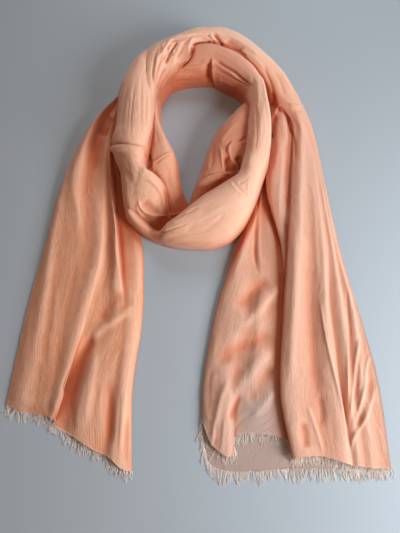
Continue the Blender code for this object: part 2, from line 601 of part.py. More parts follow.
def hem_lines(item, columns):
    """The row above a tail's hem, and the hem's outer and inner edges, in millimetres."""
    depsgraph = bpy.context.evaluated_depsgraph_get()
    depsgraph.update()
    mesh = bpy.data.meshes.new_from_object(item.evaluated_get(depsgraph))
    points = np.array([tuple(v.co) for v in mesh.vertices]) / MM + (*MIDDLE, 0)
    bpy.data.meshes.remove(mesh)
    half = TAIL_ROWS * columns
    outer, inner = points[:half], points[half : 2 * half]
    return outer[-2 * columns : -columns], outer[-columns:], inner[-columns:]


def settle(item):
    """Applies a piece's modifiers and drops crumbs that a cut left loose."""
    depsgraph = bpy.context.evaluated_depsgraph_get()
    mesh = bpy.data.meshes.new_from_object(item.evaluated_get(depsgraph))
    item.modifiers.clear()
    shape = bmesh.new()
    shape.from_mesh(mesh)
    bmesh.ops.remove_doubles(shape, verts=shape.verts, dist=WELD * MM)
    bmesh.ops.dissolve_degenerate(shape, edges=shape.edges, dist=WELD * MM)
    islands = []
    left = set(shape.verts)
    while left:
        start = left.pop()
        island = {start}
        stack = [start]
        while stack:
            for edge in stack.pop().link_edges:
                for vertex in edge.verts:
                    if vertex in left:
                        left.discard(vertex)
                        island.add(vertex)
                        stack.append(vertex)
        islands.append(island)
    largest = max(islands, key=len)
    crumbs = [vertex for island in islands if island is not largest for vertex in island]
    bmesh.ops.delete(shape, geom=crumbs, context="VERTS")
    shape.to_mesh(mesh)
    shape.free()
    item.data = mesh


def main():
    clear_scene()
    group = new_collection("viscose_scarf")
    cutters = new_collection("cutters")
    cloth = cloth_material("cloth", COLOUR_CLOTH, 0.8)
    inner_cloth = cloth_material("cloth_inner", COLOUR_INNER, 0.85)
    tables = {
        "wrap_left": (WRAP_LEFT, LEFT_RIDGES, cloth),
        "wrap_front": (WRAP_FRONT, FRONT_RIDGES, cloth),
        "wrap_right": (WRAP_RIGHT, RIGHT_RIDGES, cloth),
        "wrap_left_inner": (WRAP_LEFT_INNER, LEFT_INNER_RIDGES, inner_cloth),
        "wrap_right_inner": (WRAP_RIGHT_INNER, RIGHT_INNER_RIDGES, inner_cloth),
        "wrap_back_inner": (WRAP_BACK_INNER, BACK_INNER_RIDGES, inner_cloth),
        "wrap_back_outer": (WRAP_BACK_OUTER, BACK_OUTER_RIDGES, cloth),
    }
    pieces = {}
    copies = {}
    for name, (sections, ridges, material) in tables.items():
        pieces[name] = ring_stretch(name, sections, ridges, group, material)
        copies[name] = ring_stretch(name + "_clearance", sections, ridges, cutters, grow=SEAM)
        copies[name].hide_render = True
        copies[name].display_type = "WIRE"
    fringe_cloth = cloth_material("fringe", COLOUR_FRINGE, 0.85)
    turned_edge = range(2 * TAIL_STEPS, 3 * TAIL_STEPS + 1)
    for name, folds, crosses, fringe_name, turned in (
        ("tail_left", TAIL_LEFT, LEFT_CROSS, "fringe_left", ()),
        ("tail_right", TAIL_RIGHT, RIGHT_CROSS, "fringe_right", turned_edge),
    ):
        pieces[name] = tail_sheet(name, folds, crosses, group, cloth)
        columns = (len(folds) - 1) * TAIL_STEPS + 1
        fringe(fringe_name, *hem_lines(pieces[name], columns), turned, group, fringe_cloth)
    for name, above in LIES_UNDER.items():
        cut_clear(pieces[name], [copies[other] for other in above])
    for name in LIES_UNDER:
        settle(pieces[name])


if __name__ == "__main__":
    main()
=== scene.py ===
"""The looks of a viscose scarf laid flat: its cloth, creases, frayed ends and the light on it.

Tables are in millimetres about the middle of the drawing, and meshes are in metres.
"""

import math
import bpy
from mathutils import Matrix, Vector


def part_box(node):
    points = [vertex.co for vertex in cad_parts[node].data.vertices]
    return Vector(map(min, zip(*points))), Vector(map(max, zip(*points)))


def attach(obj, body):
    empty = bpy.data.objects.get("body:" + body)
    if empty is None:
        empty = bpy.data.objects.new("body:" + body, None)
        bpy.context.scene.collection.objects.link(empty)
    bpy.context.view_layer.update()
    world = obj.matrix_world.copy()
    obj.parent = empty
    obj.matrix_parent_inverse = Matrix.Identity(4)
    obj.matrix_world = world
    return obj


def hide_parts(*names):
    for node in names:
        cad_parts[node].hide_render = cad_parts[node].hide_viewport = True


bl_info = {
    "name": "Viscose scarf, laid flat",
    "version": (1, 0, 0),
    "blender": (4, 5, 0),
    "location": "View3D > Sidebar > Scarf",
    "description": "Builds the cloth, fringe, floor and light of a wound scarf",
    "category": "Object",
}

from collections import namedtuple

import bmesh
import bpy
import numpy as np
from mathutils import Vector
from mathutils.bvhtree import BVHTree

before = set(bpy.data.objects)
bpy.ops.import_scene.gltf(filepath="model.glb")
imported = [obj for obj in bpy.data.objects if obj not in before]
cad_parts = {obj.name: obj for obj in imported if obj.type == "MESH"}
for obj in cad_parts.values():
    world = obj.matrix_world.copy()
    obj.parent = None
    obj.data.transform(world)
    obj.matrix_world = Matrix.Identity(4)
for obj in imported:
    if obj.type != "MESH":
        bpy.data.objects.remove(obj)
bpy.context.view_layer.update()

MM = 0.001
LEAST = 1e-6  # keeps a length that is divided by from being nothing
MIDDLE = (2.5, -6.5)  # the model's origin, in the tables

# The viewing point
EYE = (10.0, -239.3, 420.0)  # in the tables
EYE_TILT = 22.0  # degrees from straight down
EYE_LENS = 27.02
SENSOR_WIDTH = 36.0
NEAR_LIMIT = 0.01  # metres

# The form of the cloth
FOOT_TUCK = 24.0  # degrees that a band's rounded side turns in under itself
FOOT_SHARES = (0.3, 0.6, 0.9)  # places across the flat cloth under a band
REST = 0.25  # least height of the cloth over the floor
BAND_ROWS = 20  # rows of points from one section of a band to the next
FEWEST_ACROSS, MOST_ACROSS = 2, 24  # points from one fold line to the next
HIDDEN_DEPTH = 3.5  # cloth that lies this deep in another stretch is left out
MOST_WALLS = 12  # walls of a solid that a ray is followed through
UPWARD = Vector((0.05, 0.03, 1.0)).normalized()
PAST_WALL = 1e-6  # metres

# Creases, with distances in widths of the crease
CREASE_STEPS = 5
CREASE_SPAN = 6.0  # how far from its path a crease is worked out
CREASE_END = 5.9  # how far it reaches
CREASE_FADE = 0.22  # share of its length over which each end dies out
EDGE_SPAN = 0.45  # how far the edge of a layer takes to rise
SINK_SPAN = 2.4  # how far it takes to sink back into the cloth
GROOVE_PLACE, GROOVE_WIDTH = 0.5, 0.8  # the groove beside that edge
# A trough this deep gets the full painted fold shade
FULL_RISE = 2.5  # millimetres; a trough this deep has the full colour of a fold

# Crumples: how wide and long each kind is on the cloth, and its share of the height
Grain = namedtuple("Grain", "across along share")
BEND = Grain(30, 45, 6)  # how far the others wander, in millimetres
BROAD = Grain(11, 60, 0.34)
FINE = Grain(5.5, 26, 0.24)
CRUMPLE = Grain(9, 14, 0.36)
SMALL = Grain(2.6, 5, 0.2)
RING_RIPPLE = 0.5  # height of the crumples
TAIL_RIPPLE = 0.44

# Marks for the colours: painted shade in hollows, creases and closed-off places, and a painted
# highlight on crests. A span is where an effect starts and where it is full
HOLLOW_REACHES = (3, 7, 12)  # points each way that a place is compared with
HOLLOW_DEPTH = 4.0  # a hollow of this depth is a full one
HOLLOW_SHADE = 0.7
CREASE_SHADE = 0.8
# How strongly crests get a painted highlight, and its most
CREST_HIGHLIGHT, CREST_HIGHLIGHT_MOST = 1.2, 0.6
LAYERS_SPAN = (8.0, 42.0)  # heights over which the cloth gets paler
CLOSED_SPAN = (0.06, 0.32)  # shares of the light that are closed off
FAR_SPAN = (0.64, 0.76)  # shares of a stretch's length, for its second shade

# Asking how closed off a place is
LOOKS = 20  # directions
LOOK_STRIDE = 4  # points of the grid from one such place to the next
LOOK_START = 3.5  # height over the cloth
LOOK_REACH = 140.0
LOOK_LOWEST = -0.05  # a direction that falls more than this ends on the floor
LOOK_LEAN = Vector((0.55, -0.25, 0.45))  # towards the brightest window
LOOK_BAND = (5, 24)  # rows and arcs of the coarse cloth that is asked about
LOOK_SPACING = 4.0

# How thin and how shaded the tails look. Spans are places in the tables, or shares of the
# way down to the hem
LEFT_THIN, LEFT_SPAN = 0.1, (0.8, 0.8 + 1 / 6)
UNDER_SHADE = 0.1
UNDER_THIN, UNDER_MORE, UNDER_SPAN = 0.3, 0.2, (0.6, 0.6 + 1 / 3)
HEM_THIN, HEM_ACROSS, HEM_SPAN = 0.35, (46, 54), (0.78, 0.92)
ONE_LAYER, ONE_LAYER_HEIGHT = 0.9, 1.2
OVER_SHADE, OVER_SHADE_UP, OVER_SHADE_ACROSS = 0.1, (160, 60), (152, 138)
OVER_THIN, OVER_THIN_UP, OVER_THIN_FOLDS = 0.34, (170, 50), 0.6

# Frayed threads
THREAD_STEPS = 6
THREAD_RADIUS = 0.24
THREAD_TAPER = 0.55
THREAD_TURNS = (math.pi / 2, math.pi * 7 / 6, math.pi * 11 / 6)
THREAD_BOW = 0.9
THREAD_KINK, KINK_WAVES = 0.35, 2.2
THREAD_LOW, THREAD_LIFT = 0.35, 0.5  # height over the floor at the root, and more at the tip
ROOT_LOWEST = 0.5
THREAD_FALL, FALL_POWER = 2.2, 1.5  # how soon a thread comes down to the floor
THREAD_SLANT = 0.1
THREAD_LENGTHS = (0.7, 1.05)
TUFT_WIDTHS = (2.0, 5.5)
TUFT_SLANT = 0.22
TUFT_LENGTHS = (0.6, 1.25)
TUFT_GATHERS = (0.25, 0.7)
HEM_MARGIN = 0.3
ROWS_ABOVE = 6  # rows up the cloth that give the way the threads leave it
CLOTH_SLANT = 0.7  # share of the cloth's own slant that they follow
ROOT_BACK, ROOT_LIFT = 1.0, 0.15  # how far a root lies in the cloth
STRAY_STEPS, STRAY_RADIUS, STRAY_SHADE = 4, 0.8, 0.2

# The weave, in metres, and its parts in the height of the bump
THREAD_PITCH = 0.0006
SLUB_LENGTH = 0.03
SLUBS_ACROSS = 900.0  # to the metre
WEAVE_PART, SLUB_PART, CROSS_PART, CRINKLE_PART = 0.16, 0.8, 0.35, 1.6
BUMP_STRENGTH, BUMP_DISTANCE = 0.9, 0.0004

# Patterns: grains to the metre each way, detail and roughness
SLUB_NOISE = (3.0, 0.62)
CROSS_GRAIN = ((60.0, 700.0, 1.0), 2.0, 0.5)
CRINKLE_GRAIN = ((420.0, 95.0, 1.0), 4.0, 0.6)
MOTTLE_GRAIN = ((38.0, 17.0, 1.0), 3.0, 0.55)
STREAKS_SPAN = (0.36, 0.66)
MOTTLE_SPAN = (0.35, 0.65)

# Colours: how much of each is mixed in where its mark is full
# The fold and deepest colours are painted shade; the full colour is the paler look of many layers, with
# a painted highlight on crests
PALE_PART, LAYERS_AND_HIGHLIGHT_PART, FOLD_SHADE_PART, DEEPEST_SHADE_PART, THREAD_PART = 0.22, 0.9, 0.9, 0.6, 0.3
DEEPEST_SHADE_POWER = 4.0
MIX_COLOURS, MIX_RESULT = (6, 7), 2  # a mix node's sockets for colours
CLOTH_SURFACE = {
    "Roughness": 0.82, "Sheen Weight": 0.4, "Sheen Roughness": 0.4, "Specular IOR Level": 0.25
}
THREAD_SURFACE = {"Roughness": 0.8}
FLOOR_SURFACE = {"Roughness": 0.9}

# The light, in metres and watts
Lamp = namedtuple("Lamp", "name place size power colour")
LAMPS = (
    Lamp("front_window", (0.66, -0.40, 0.38), 0.38, 11.0, (0.78, 0.90, 1.0)),
    Lamp("far_window", (0.20, 0.80, 0.60), 0.42, 4.4, (0.76, 0.90, 1.0)),
    Lamp("ceiling", (-0.30, -0.15, 0.9), 0.80, 1.4, (1.0, 0.80, 0.66)),
)
ROOM_COLOUR = (1.0, 0.66, 0.44, 1)
ROOM_STRENGTH = 0.09
FLOOR_HALF = 4  # metres


def table(kind, rows):
    return tuple(kind(*row) for row in rows)


# A band's sections: its outer and inner foot, its height, and how far over its crest leans,
# from 0 at the outer foot to 1 at the inner
Section = namedtuple("Section", "out_x out_y in_x in_y height crest")

LEFT_STRAND = table(Section, (
    (-22, 258, -18, 243, 16, 0.50),
    (-40, 254, -32, 238, 24, 0.50),
    (-56, 242, -44, 229, 31, 0.50),
    (-74, 223, -43, 208, 42, 0.52),
    (-88, 196, -43, 188, 46, 0.55),
    (-96, 160, -44, 158, 47, 0.57),
    (-96, 124, -43, 123, 46, 0.62),
    (-96.5, 102, -44, 102, 45.5, 0.64),
    (-99, 88, -46, 87, 47, 0.66),
    (-95, 68, -49.5, 68, 46, 0.66),
    (-87, 49, -53, 47, 42, 0.66),
    (-83, 37, -49, 38.5, 42, 0.66),
    (-81, 27, -38.5, 33, 41, 0.67),
    (-80, 17, -30.5, 25, 39, 0.62),
    (-79, 7, -26.5, 16, 35, 0.54),
    (-77, -3, -26, 5, 30, 0.46),
    (-73, -11, -24, -6, 24, 0.42),
    (-67, -19, -22, -14, 18, 0.42),
    (-59, -26, -28, -22, 13, 0.46),
    (-52, -31, -35, -30, 9, 0.52),
    (-47, -36, -39, -36, 5, 0.50),
))
FRONT_BAND = table(Section, (
    (-78, 40, -68, 38, 16, 0.45),
    (-77, 14, -66, 13, 15, 0.50),
    (-77.5, -1, -65, 1, 20, 0.50),
    (-75, -14, -61, -8, 23, 0.46),
    (-67, -24, -55, -15, 21, 0.48),
    (-57, -32, -48, -21.5, 17.5, 0.50),
    (-47, -38, -40, -28, 14, 0.52),
    (-39, -42, -34.5, -31, 18, 0.60),
    (-29, -46.5, -25, -25, 30, 0.72),
    (-14, -50.5, -13, -16, 35, 0.75),
    (2, -53, 0, -3, 37, 0.76),
    (20, -54, 14, 9, 39, 0.76),
    (39, -49, 30, 20, 41, 0.74),
    (57, -33, 44, 30, 42, 0.70),
    (73, -3, 54, 38, 42, 0.62),
    (84, 28, 58, 49, 42, 0.50),
    (93, 58, 62, 64, 43, 0.38),
    (97, 88, 65, 86, 44, 0.30),
    (98, 114, 69, 112, 44, 0.27),
    (96, 142, 72, 138, 44, 0.27),
    (92, 168, 69, 157, 44, 0.28),
    (84, 190, 60, 172, 44.5, 0.28),
    (70, 209, 49, 180, 45, 0.28),
    (52, 224, 38, 187, 45.5, 0.28),
    (25, 235, 24, 195, 46, 0.27),
    (9, 238, 8, 194, 44, 0.28),
    (-8, 233, -9, 192, 38, 0.30),
    (-25, 221, -23, 187, 31, 0.32),
    (-40, 200, -34, 179, 26, 0.38),
    (-50, 172, -41, 163, 22, 0.45),
))
LEFT_INNER = table(Section, (
    (-60, 176, -44, 172, 20, 0.60),
    (-56, 164, -42, 161, 28, 0.60),
    (-58, 140, -41, 134, 31, 0.66),
    (-57, 112, -36, 104, 33, 0.72),
    (-58, 86, -25, 80, 34, 0.74),
    (-59, 62, -17, 60, 32, 0.72),
    (-60, 38, -14, 36, 27, 0.62),
    (-54, 14, -8, 16, 20, 0.55),
    (-46, -9, 0, 2, 14, 0.50),
    (-42, -22, 3, -11, 9, 0.50),
    (-40, -33, 6, -23, 6, 0.50),
))
RIGHT_INNER = table(Section, (
    (82, 168, 70, 162, 10, 0.50),
    (80, 140, 55, 139, 27, 0.50),
    (80, 118, 41, 121, 32, 0.48),
    (78, 98, 28, 103, 33, 0.48),
    (76, 78, 21, 84, 33, 0.50),
    (70, 60, 14, 62, 32, 0.50),
    (58, 42, 9, 44, 30, 0.50),
    (44, 26, 3, 27, 26, 0.50),
    (28, 8, -2, 10, 19, 0.50),
    (18, -8, -4, -6, 14, 0.50),
    (12, -20, -4, -18, 8, 0.50),
))
BACK_BAND = table(Section, (
    (-52, 128, -44, 127, 30, 0.50),
    (-62, 153, -43, 150, 41, 0.50),
    (-69, 182, -37, 167, 46, 0.50),
    (-70, 211, -29, 182, 48, 0.53),
    (-60, 239, -19, 192, 49, 0.58),
    (-37, 255, -6, 203, 49, 0.64),
    (-12, 267, 1, 212, 49, 0.62),
    (12, 272, 12, 220, 49, 0.54),
    (36, 271, 26, 221, 49, 0.50),
    (60, 262, 42, 218, 48, 0.50),
    (80, 248, 58, 208, 46, 0.50),
    (98, 230, 72, 192, 43, 0.48),
    (115, 212, 88, 178, 38, 0.46),
    (128, 194, 98, 162, 33, 0.46),
))

# A tail's cloth hangs from fold lines that run down to the hem. A row per line: its place
# across and its height at each station, where its hem lies and where its top is hidden.
STATIONS = (190, 110, 30, -50, -130, -210)
Fold = namedtuple("Fold", "across height hem_across hem_height hem top")

TAIL_LEFT = table(Fold, (
    # left edge and the ridge beside it
    ((-99, -141, -162, -170, -178, -182), (4, 2, 1.4, 1.2, 1.2, 1.2), -182, 1.2, -219, 178),
    ((-97, -138, -157, -160, -162, -165), (6, 9, 8, 8, 8, 7), -166, 4.0, -224, 180),
    ((-95, -134, -149, -148, -150, -151), (7.5, 13, 11, 8.2, 7.4, 6.6), -153, 3.4, -226, 182),
    # roll
    ((-92.5, -128, -137, -128, -135, -141), (9, 18, 14, 9.4, 8.8, 7.6), -144, 4.2, -228, 184),
    ((-90, -119, -126, -115, -126, -136), (9, 7, 10.4, 9.6, 9.6, 8.2), -138, 5.6, -229, 186),
    # wide pleat, turned in under itself
    ((-88.5, -113, -114, -104, -115, -127.5), (9.5, 8, 11.6, 12, 11.5, 11.5), -133, 6.8, -231, 187),
    ((-87, -110, -109, -101, -111, -123.5), (10, 10.5, 12, 12, 10.6, 9.5), -130.5, 4.6, -233, 188),
    ((-86, -108, -106, -98, -109.5, -126.5), (10, 11.5, 12, 10, 9.8, 6), -132, 2.8, -234, 189),
    ((-85, -106, -103, -95, -108, -131), (10, 12.2, 11, 8, 9.0, 2.1), -134, 1.9, -235, 190),
    ((-84, -105.5, -101.5, -93, -106, -128), (10.5, 12.7, 10.5, 7.5, 8.2, 1.3), -131, 1.2, -238, 190.5),
    # hollow and the flat beside it
    ((-83, -105, -100, -91, -101, -116), (11, 13.1, 10, 7, 7.4, 1.1), -122, 1.1, -242, 191),
    ((-81.5, -104, -98, -88, -92, -106), (11, 13.5, 12, 10, 7, 8), -110, 3.8, -248, 192),
    # narrow pleat
    ((-80, -103, -96, -84, -80, -90), (11, 13.8, 15, 14, 9, 7), -96, 4.4, -256, 192),
    ((-78.5, -102, -93, -80, -74, -82), (11, 14, 12, 10, 8.5, 6), -88, 3.4, -260, 192),
    # crease and band
    ((-77, -101, -92, -81, -70, -76), (11, 14.1, 7, 5, 8, 5), -80, 2.6, -263, 192),
    ((-75.5, -99, -88, -72, -64, -69), (11, 14, 6, 4.5, 8, 7), -73, 5.0, -267, 192),
    # right edge
    ((-73.5, -97, -84, -62, -57, -63), (10, 13.5, 6, 5, 6, 6), -64, 4.6, -274, 192),
    ((-71, -95, -79, -56, -52, -58), (9, 12.5, 5, 1.4, 1.2, 1.2), -54, 1.2, -277, 192),
))
TAIL_UNDER = table(Fold, (
    # one layer on the sheet
    ((129, 149, 160, 167, 183, 191.5), (0, 0, 0, 0, 0, 0), 190, 0.0, -275, 168),
    ((112, 120, 118, 110, 104, 100), (0, 0, 0, 0, 0, 0), 102, 0.0, -275, 150),
    ((101, 93, 85, 58, 33, 20), (0, 0, 0, 0, 0, 0), 20, 0.0, -272, 140),
    # turned left edge and its roll
    ((97, 88, 79, 50, 25, 12), (2.1, 2.1, 2.1, 2.1, 2.1, 2.1), 12, 2.1, -231, 138),
    ((100, 90, 82, 54, 30, 17), (4.4, 5, 6, 7, 6, 5.5), 15, 4.6, -240, 138),
    ((101, 91.5, 85, 61, 38, 25), (4.6, 6, 8, 9, 8, 7), 22, 5.2, -255, 138),
    # turned cloth beside it
    ((102, 93, 87, 68, 52, 36), (4.8, 6, 7, 7, 8, 8), 37, 5.4, -264, 139),
    ((103, 94, 88, 73, 60, 43), (5, 5.5, 6, 6, 6, 4.5), 42, 3.2, -260, 140),
    ((103.5, 94.8, 88.5, 77, 67, 51), (5, 5.5, 5.8, 6, 6, 4.6), 44, 3.4, -246, 140.5),
    ((104, 95.5, 89, 81, 73, 62), (5, 5.5, 5.8, 6, 7, 6), 60, 3.8, -244, 141),
    ((105, 97, 90.5, 90, 86, 81), (5.2, 5.5, 5.6, 6, 4, 3.4), 81, 2.9, -246, 142),
    # under the upper cloth
    ((106, 98.5, 92, 97, 99, 98), (5.4, 6, 5.4, 5.2, 3.0, 2.9), 98, 2.9, -252, 143),
    ((108, 104, 98, 103, 106, 106), (5.6, 6, 5.2, 5.0, 2.4, 2.3), 106, 2.3, -254, 144),
))
TAIL_OVER = table(Fold, (
    # strand
    ((107.5, 103, 94, 102, 105, 106), (8, 10, 10, 6, 3.0, 2.9), 105, 2.9, -254, 144),
    ((108.5, 99.5, 88.5, 102, 109, 110), (15, 16, 13.5, 8.6, 3.1, 3.0), 109, 3.0, -256, 145),
    ((110, 104, 93.5, 104, 112, 113), (21, 20, 15.5, 10.3, 3.1, 3.0), 112, 3.0, -258, 146),
    ((112, 112.5, 104, 107, 115, 116), (24, 23, 17.5, 10.8, 3.3, 3.1), 115, 3.0, -260, 147),
    ((114, 124, 117, 110.5, 118, 119), (22, 18, 14.5, 10.2, 4.3, 4.1), 118, 4.0, -262, 148),
    ((115, 124.8, 117.5, 110.2, 115.5, 116.5), (22, 17, 14, 11.2, 5.5, 5.1), 115.5, 4.9, -262, 148.5),
    # pleat
    ((116, 125.5, 118.5, 109.5, 101, 93.5), (22, 17.5, 14.5, 12.4, 6.4, 5.6), 100, 5.3, -263, 149),
    ((117.5, 126, 117.5, 107.5, 97.5, 89), (23.5, 20.5, 17, 14.8, 8.5, 7.5), 96, 7.2, -266, 150),
    ((119, 129, 120, 110, 100.5, 92), (25, 22, 19, 17, 11.6, 9.8), 99, 9.2, -266, 152),
    # ridge and trough beside it
    ((120.5, 135, 128, 120, 110, 101), (26, 25, 22.5, 19.5, 14, 11.3), 107, 9.8, -264, 154),
    ((123, 141, 137, 133, 129, 123), (25, 22, 18, 13, 8.5, 7.5), 126, 6.4, -264, 159),
    # roll
    ((126, 147, 148, 148, 143.5, 146), (20, 18, 16, 14, 12, 10), 147, 6.4, -270, 165),
    ((128, 148.5, 150.5, 151, 147.5, 149.5), (18, 17, 14.5, 12, 8, 7), 150.5, 4.6, -271, 166),
    # outer ridges and edge
    ((130, 150, 153, 154.5, 150, 151.5), (16, 16, 13, 9, 4.6, 4.2), 153, 3.2, -272, 167),
    ((132, 152.5, 156, 160, 161, 158), (14, 14, 12, 9, 8.2, 6.8), 158, 4.4, -272, 169),
    ((133.5, 154.5, 158, 163, 167, 164), (11, 11, 9, 7, 4.8, 4.6), 165, 3.2, -273, 170),
    ((135, 156, 160.5, 166, 174, 171), (8, 9, 8, 6, 6.2, 5.8), 172, 3.8, -274, 171),
    ((136.5, 157.2, 162, 168, 178, 180), (5, 6, 6, 4, 3.4, 3.4), 180, 2.9, -274, 172),
    ((138, 158.5, 163.5, 170, 181, 188), (3, 3.6, 3.4, 3.1, 2.9, 2.9), 187, 2.9, -274, 173),
))
# Where each line of TAIL_OVER leaves the back band: 0 is its outer foot, 1 its inner foot
OVER_ON_BAND = (0.99, 0.95, 0.91, 0.87, 0.83, 0.81, 0.79, 0.76, 0.72, 0.65,
                0.54, 0.43, 0.36, 0.29, 0.23, 0.17, 0.11, 0.06, 0.01)

# A crease, where it is seen from the viewing point against the floor. A line crease is a
# soft ridge, or a trough where its rise is below 0. A layer is an edge of cloth lying on
# the cloth to the right of its path.
Crease = namedtuple("Crease", "kind rise width path")


def creases(rows):
    """Creases from rows of a rise, a width, and x and y in turn along the path.

    The row of a layer starts with that word.
    """
    result = []
    for row in rows:
        kind = "layer" if row[0] == "layer" else "line"
        rise, width, *path = row[1:] if kind == "layer" else row
        result.append(Crease(kind, rise, width, np.reshape(path, (-1, 2))))
    return result


LEFT_STRAND_CREASES = creases((
    # where the strand bends
    (-2, 2, -58, 95, -66, 98.5, -76, 101, -88, 102.5, -97, 102, -108, 98),
    (3, 4.8, -112, 90, -96, 94, -80, 94.5, -60, 88),
    (0.9, 1.4, -70, 99, -67, 94, -64, 86),
    (-1.2, 1.3, -60, 101, -62, 95, -60, 87, -59, 76),
    (-0.8, 1.2, -66, 99, -67, 92, -66, 84),
    # long folds up it
    (-0.6, 2, -73, 226, -71, 190, -69, 150, -66, 112),
    (-0.5, 1.6, -80, 214, -82, 176, -82, 140, -80, 108),
    (0.6, 1.8, -64, 232, -61, 200, -60, 160, -59, 118),
    (-0.5, 2.2, -90, 206, -93, 168, -93, 128, -90, 108),
    (-0.4, 1.6, -86, 180, -87, 150, -86, 118),
    (-0.5, 1.3, -64, 190, -63, 160, -62, 130),
    # end lobe
    (1.8, 1.9, -60, 48, -52, 44.5, -45, 38, -39, 29, -35.5, 19, -34.5, 8, -36, 0),
    (-2.2, 5, -60, 18, -53, 10, -46, 4, -38, 1),
    (2, 1.8, -66, 20, -62, 8, -56, 1, -50, -2.5, -43, -4, -34, -4.5, -26, -5),
    (-2.4, 6, -60, -2, -54, -9, -48, -15, -43, -22, -41, -29),
    (1, 1.6, -68, 14, -63, 0, -57, -8, -50, -14),
    (-1.2, 1.4, -64, -4, -58, -12, -50, -18, -44, -23),
    # between bend and lobe
    (2, 6, -88, 58, -82, 34, -76, 12, -70, -6),
    (-0.6, 3, -66, 70, -68, 50, -72, 32),
    (-0.6, 3, -84, 84, -80, 62, -77, 40),
    (0.5, 2, -60, 84, -60, 66, -60, 52),
))
FRONT_BAND_CREASES = creases((
    (0.8, 2.6, -79, 12, -75, 0, -68, -10, -58, -19, -47, -26),
    (-0.9, 1.5, -42, -29, -32, -26, -18, -20, -2, -14),
    (-0.5, 1.5, 48, 50, 52.5, 42, 58, 34, 66, 24, 70, 17),
    (0.4, 1.8, 45, 46, 50, 38, 57, 29, 65, 20),
    (0.5, 1.4, 69, 43, 69, 32, 69, 21),
    (-0.4, 1.4, 71.5, 43, 72, 32, 71.5, 20),
    (-0.5, 1.6, 56, 40, 63, 43, 68, 48, 73, 54),
    (-0.5, 1.5, -20, -9, -4, 0, 10, 9),
    (-0.4, 2.5, -32, -36, -10, -30, 15, -26, 35, -14),
    (0.4, 3, -30, -26, -8, -16, 18, -4, 44, 16),
    (-0.4, 2.4, -24, -42, 0, -40, 24, -40, 44, -30),
    (-0.5, 2, 16, -22, 28, -14, 40, -2),
    (1.6, 1.9, 46, 274, 54, 271, 66, 262, 80, 251, 90, 240, 95, 225, 97.5, 204, 99.5, 181, 101.5, 155,
     101.5, 130, 98, 100, 93, 80, 88, 60, 80, 40),
    (3.6, 7, 80, 200, 80, 176, 80, 150, 80, 122, 77, 96, 71, 74, 64, 58),
    (-1.8, 6.5, 84, 196, 83, 170, 82, 140, 80, 112, 75, 90, 68, 72),
    (-3.4, 2, 30, 251, 36, 245, 45, 237, 55, 229, 62, 222, 68, 214, 76, 206, 84, 198),
    (-2, 1.6, 30, 231, 40, 226, 50, 219, 60, 212, 70, 205, 80, 195),
    (1.5, 1.8, 31, 243, 40, 234, 52, 225, 62, 215, 74, 203),
    (1, 3.4, 34, 214, 46, 206, 58, 196),
    ("layer", 4.6, 1.8, 27, 256, 26.5, 244, 26.5, 232, 28, 219, 31, 206, 33, 198),
    (-5, 4.6, 24, 246, 22, 234, 21, 220, 22, 206),
    (-4, 2.6, -24, 231, -15, 238, -8, 246, -3.5, 256, -1, 268, 1, 277),
    ("layer", 2.4, 1.2, -24, 235, -14, 236, -4, 238.5, 6, 239.5, 15, 243, 25, 251),
    (-1.2, 1.2, -24, 232, -12, 232.5, 2, 233, 12, 231),
    ("layer", 1.4, 1.2, -34, 222.5, -20, 221, -8, 219.5, 4, 216, 14, 212.5),
    (-2.6, 1.4, -46, 202, -38, 207.5, -28, 210, -13, 211.5, 2, 213, 14, 211),
    (1.2, 1.6, -44, 197, -34, 203, -20, 206.5, -4, 208.5, 10, 207.5),
    (-2, 1.2, -44, 190, -38, 197, -28, 200.5, -14, 201.5, -4, 202),
    (-2.2, 1.2, -45, 180, -41, 189, -34, 194, -26, 196),
    (1.6, 1.3, -40, 216, -28, 218, -14, 217, 0, 213),
    (-1.6, 1.2, 24, 224, 10, 226, -6, 229, -20, 229),
    (-0.9, 1.2, -30, 228, -16, 227, -2, 225, 10, 221),
    (-0.8, 1.2, -30, 215, -16, 214.5, -4, 214),
    (-0.8, 2.4, 84, 228, 84, 206, 82, 186, 79, 160, 79, 130, 77, 104),
    (0.7, 2.4, 90, 214, 90, 190, 89, 164, 90, 136, 88, 108),
    (-0.5, 1.5, 86, 170, 85, 140, 84, 110, 80, 86),
    (-0.6, 2, 74, 120, 73, 100, 70, 84, 68, 70),
))
LEFT_INNER_CREASES = creases((
    ("layer", 1.5, 1.8, -22, 90, -29, 88, -36, 84, -43, 78, -50, 71, -56, 63),
    (-1.2, 1.4, -26, 86, -34, 82, -41, 76, -49, 68),
    (-4, 2.4, -58, 90, -56, 82, -54, 75, -53, 68, -56, 60),
    (-0.6, 2, -49, 140, -47, 120, -44, 100),
    (0.8, 2.2, -42, 136, -39, 118, -34, 100),
    (1.4, 1.5, -36, -1, -26, -3.5, -16, -2, -8, 1),
    (-0.7, 3, -30, 66, -29, 48, -25, 30),
    (0.6, 2.4, -40, 58, -38, 44, -30, 24),
    (-0.9, 1.6, -50, 60, -46, 52, -41, 46),
))
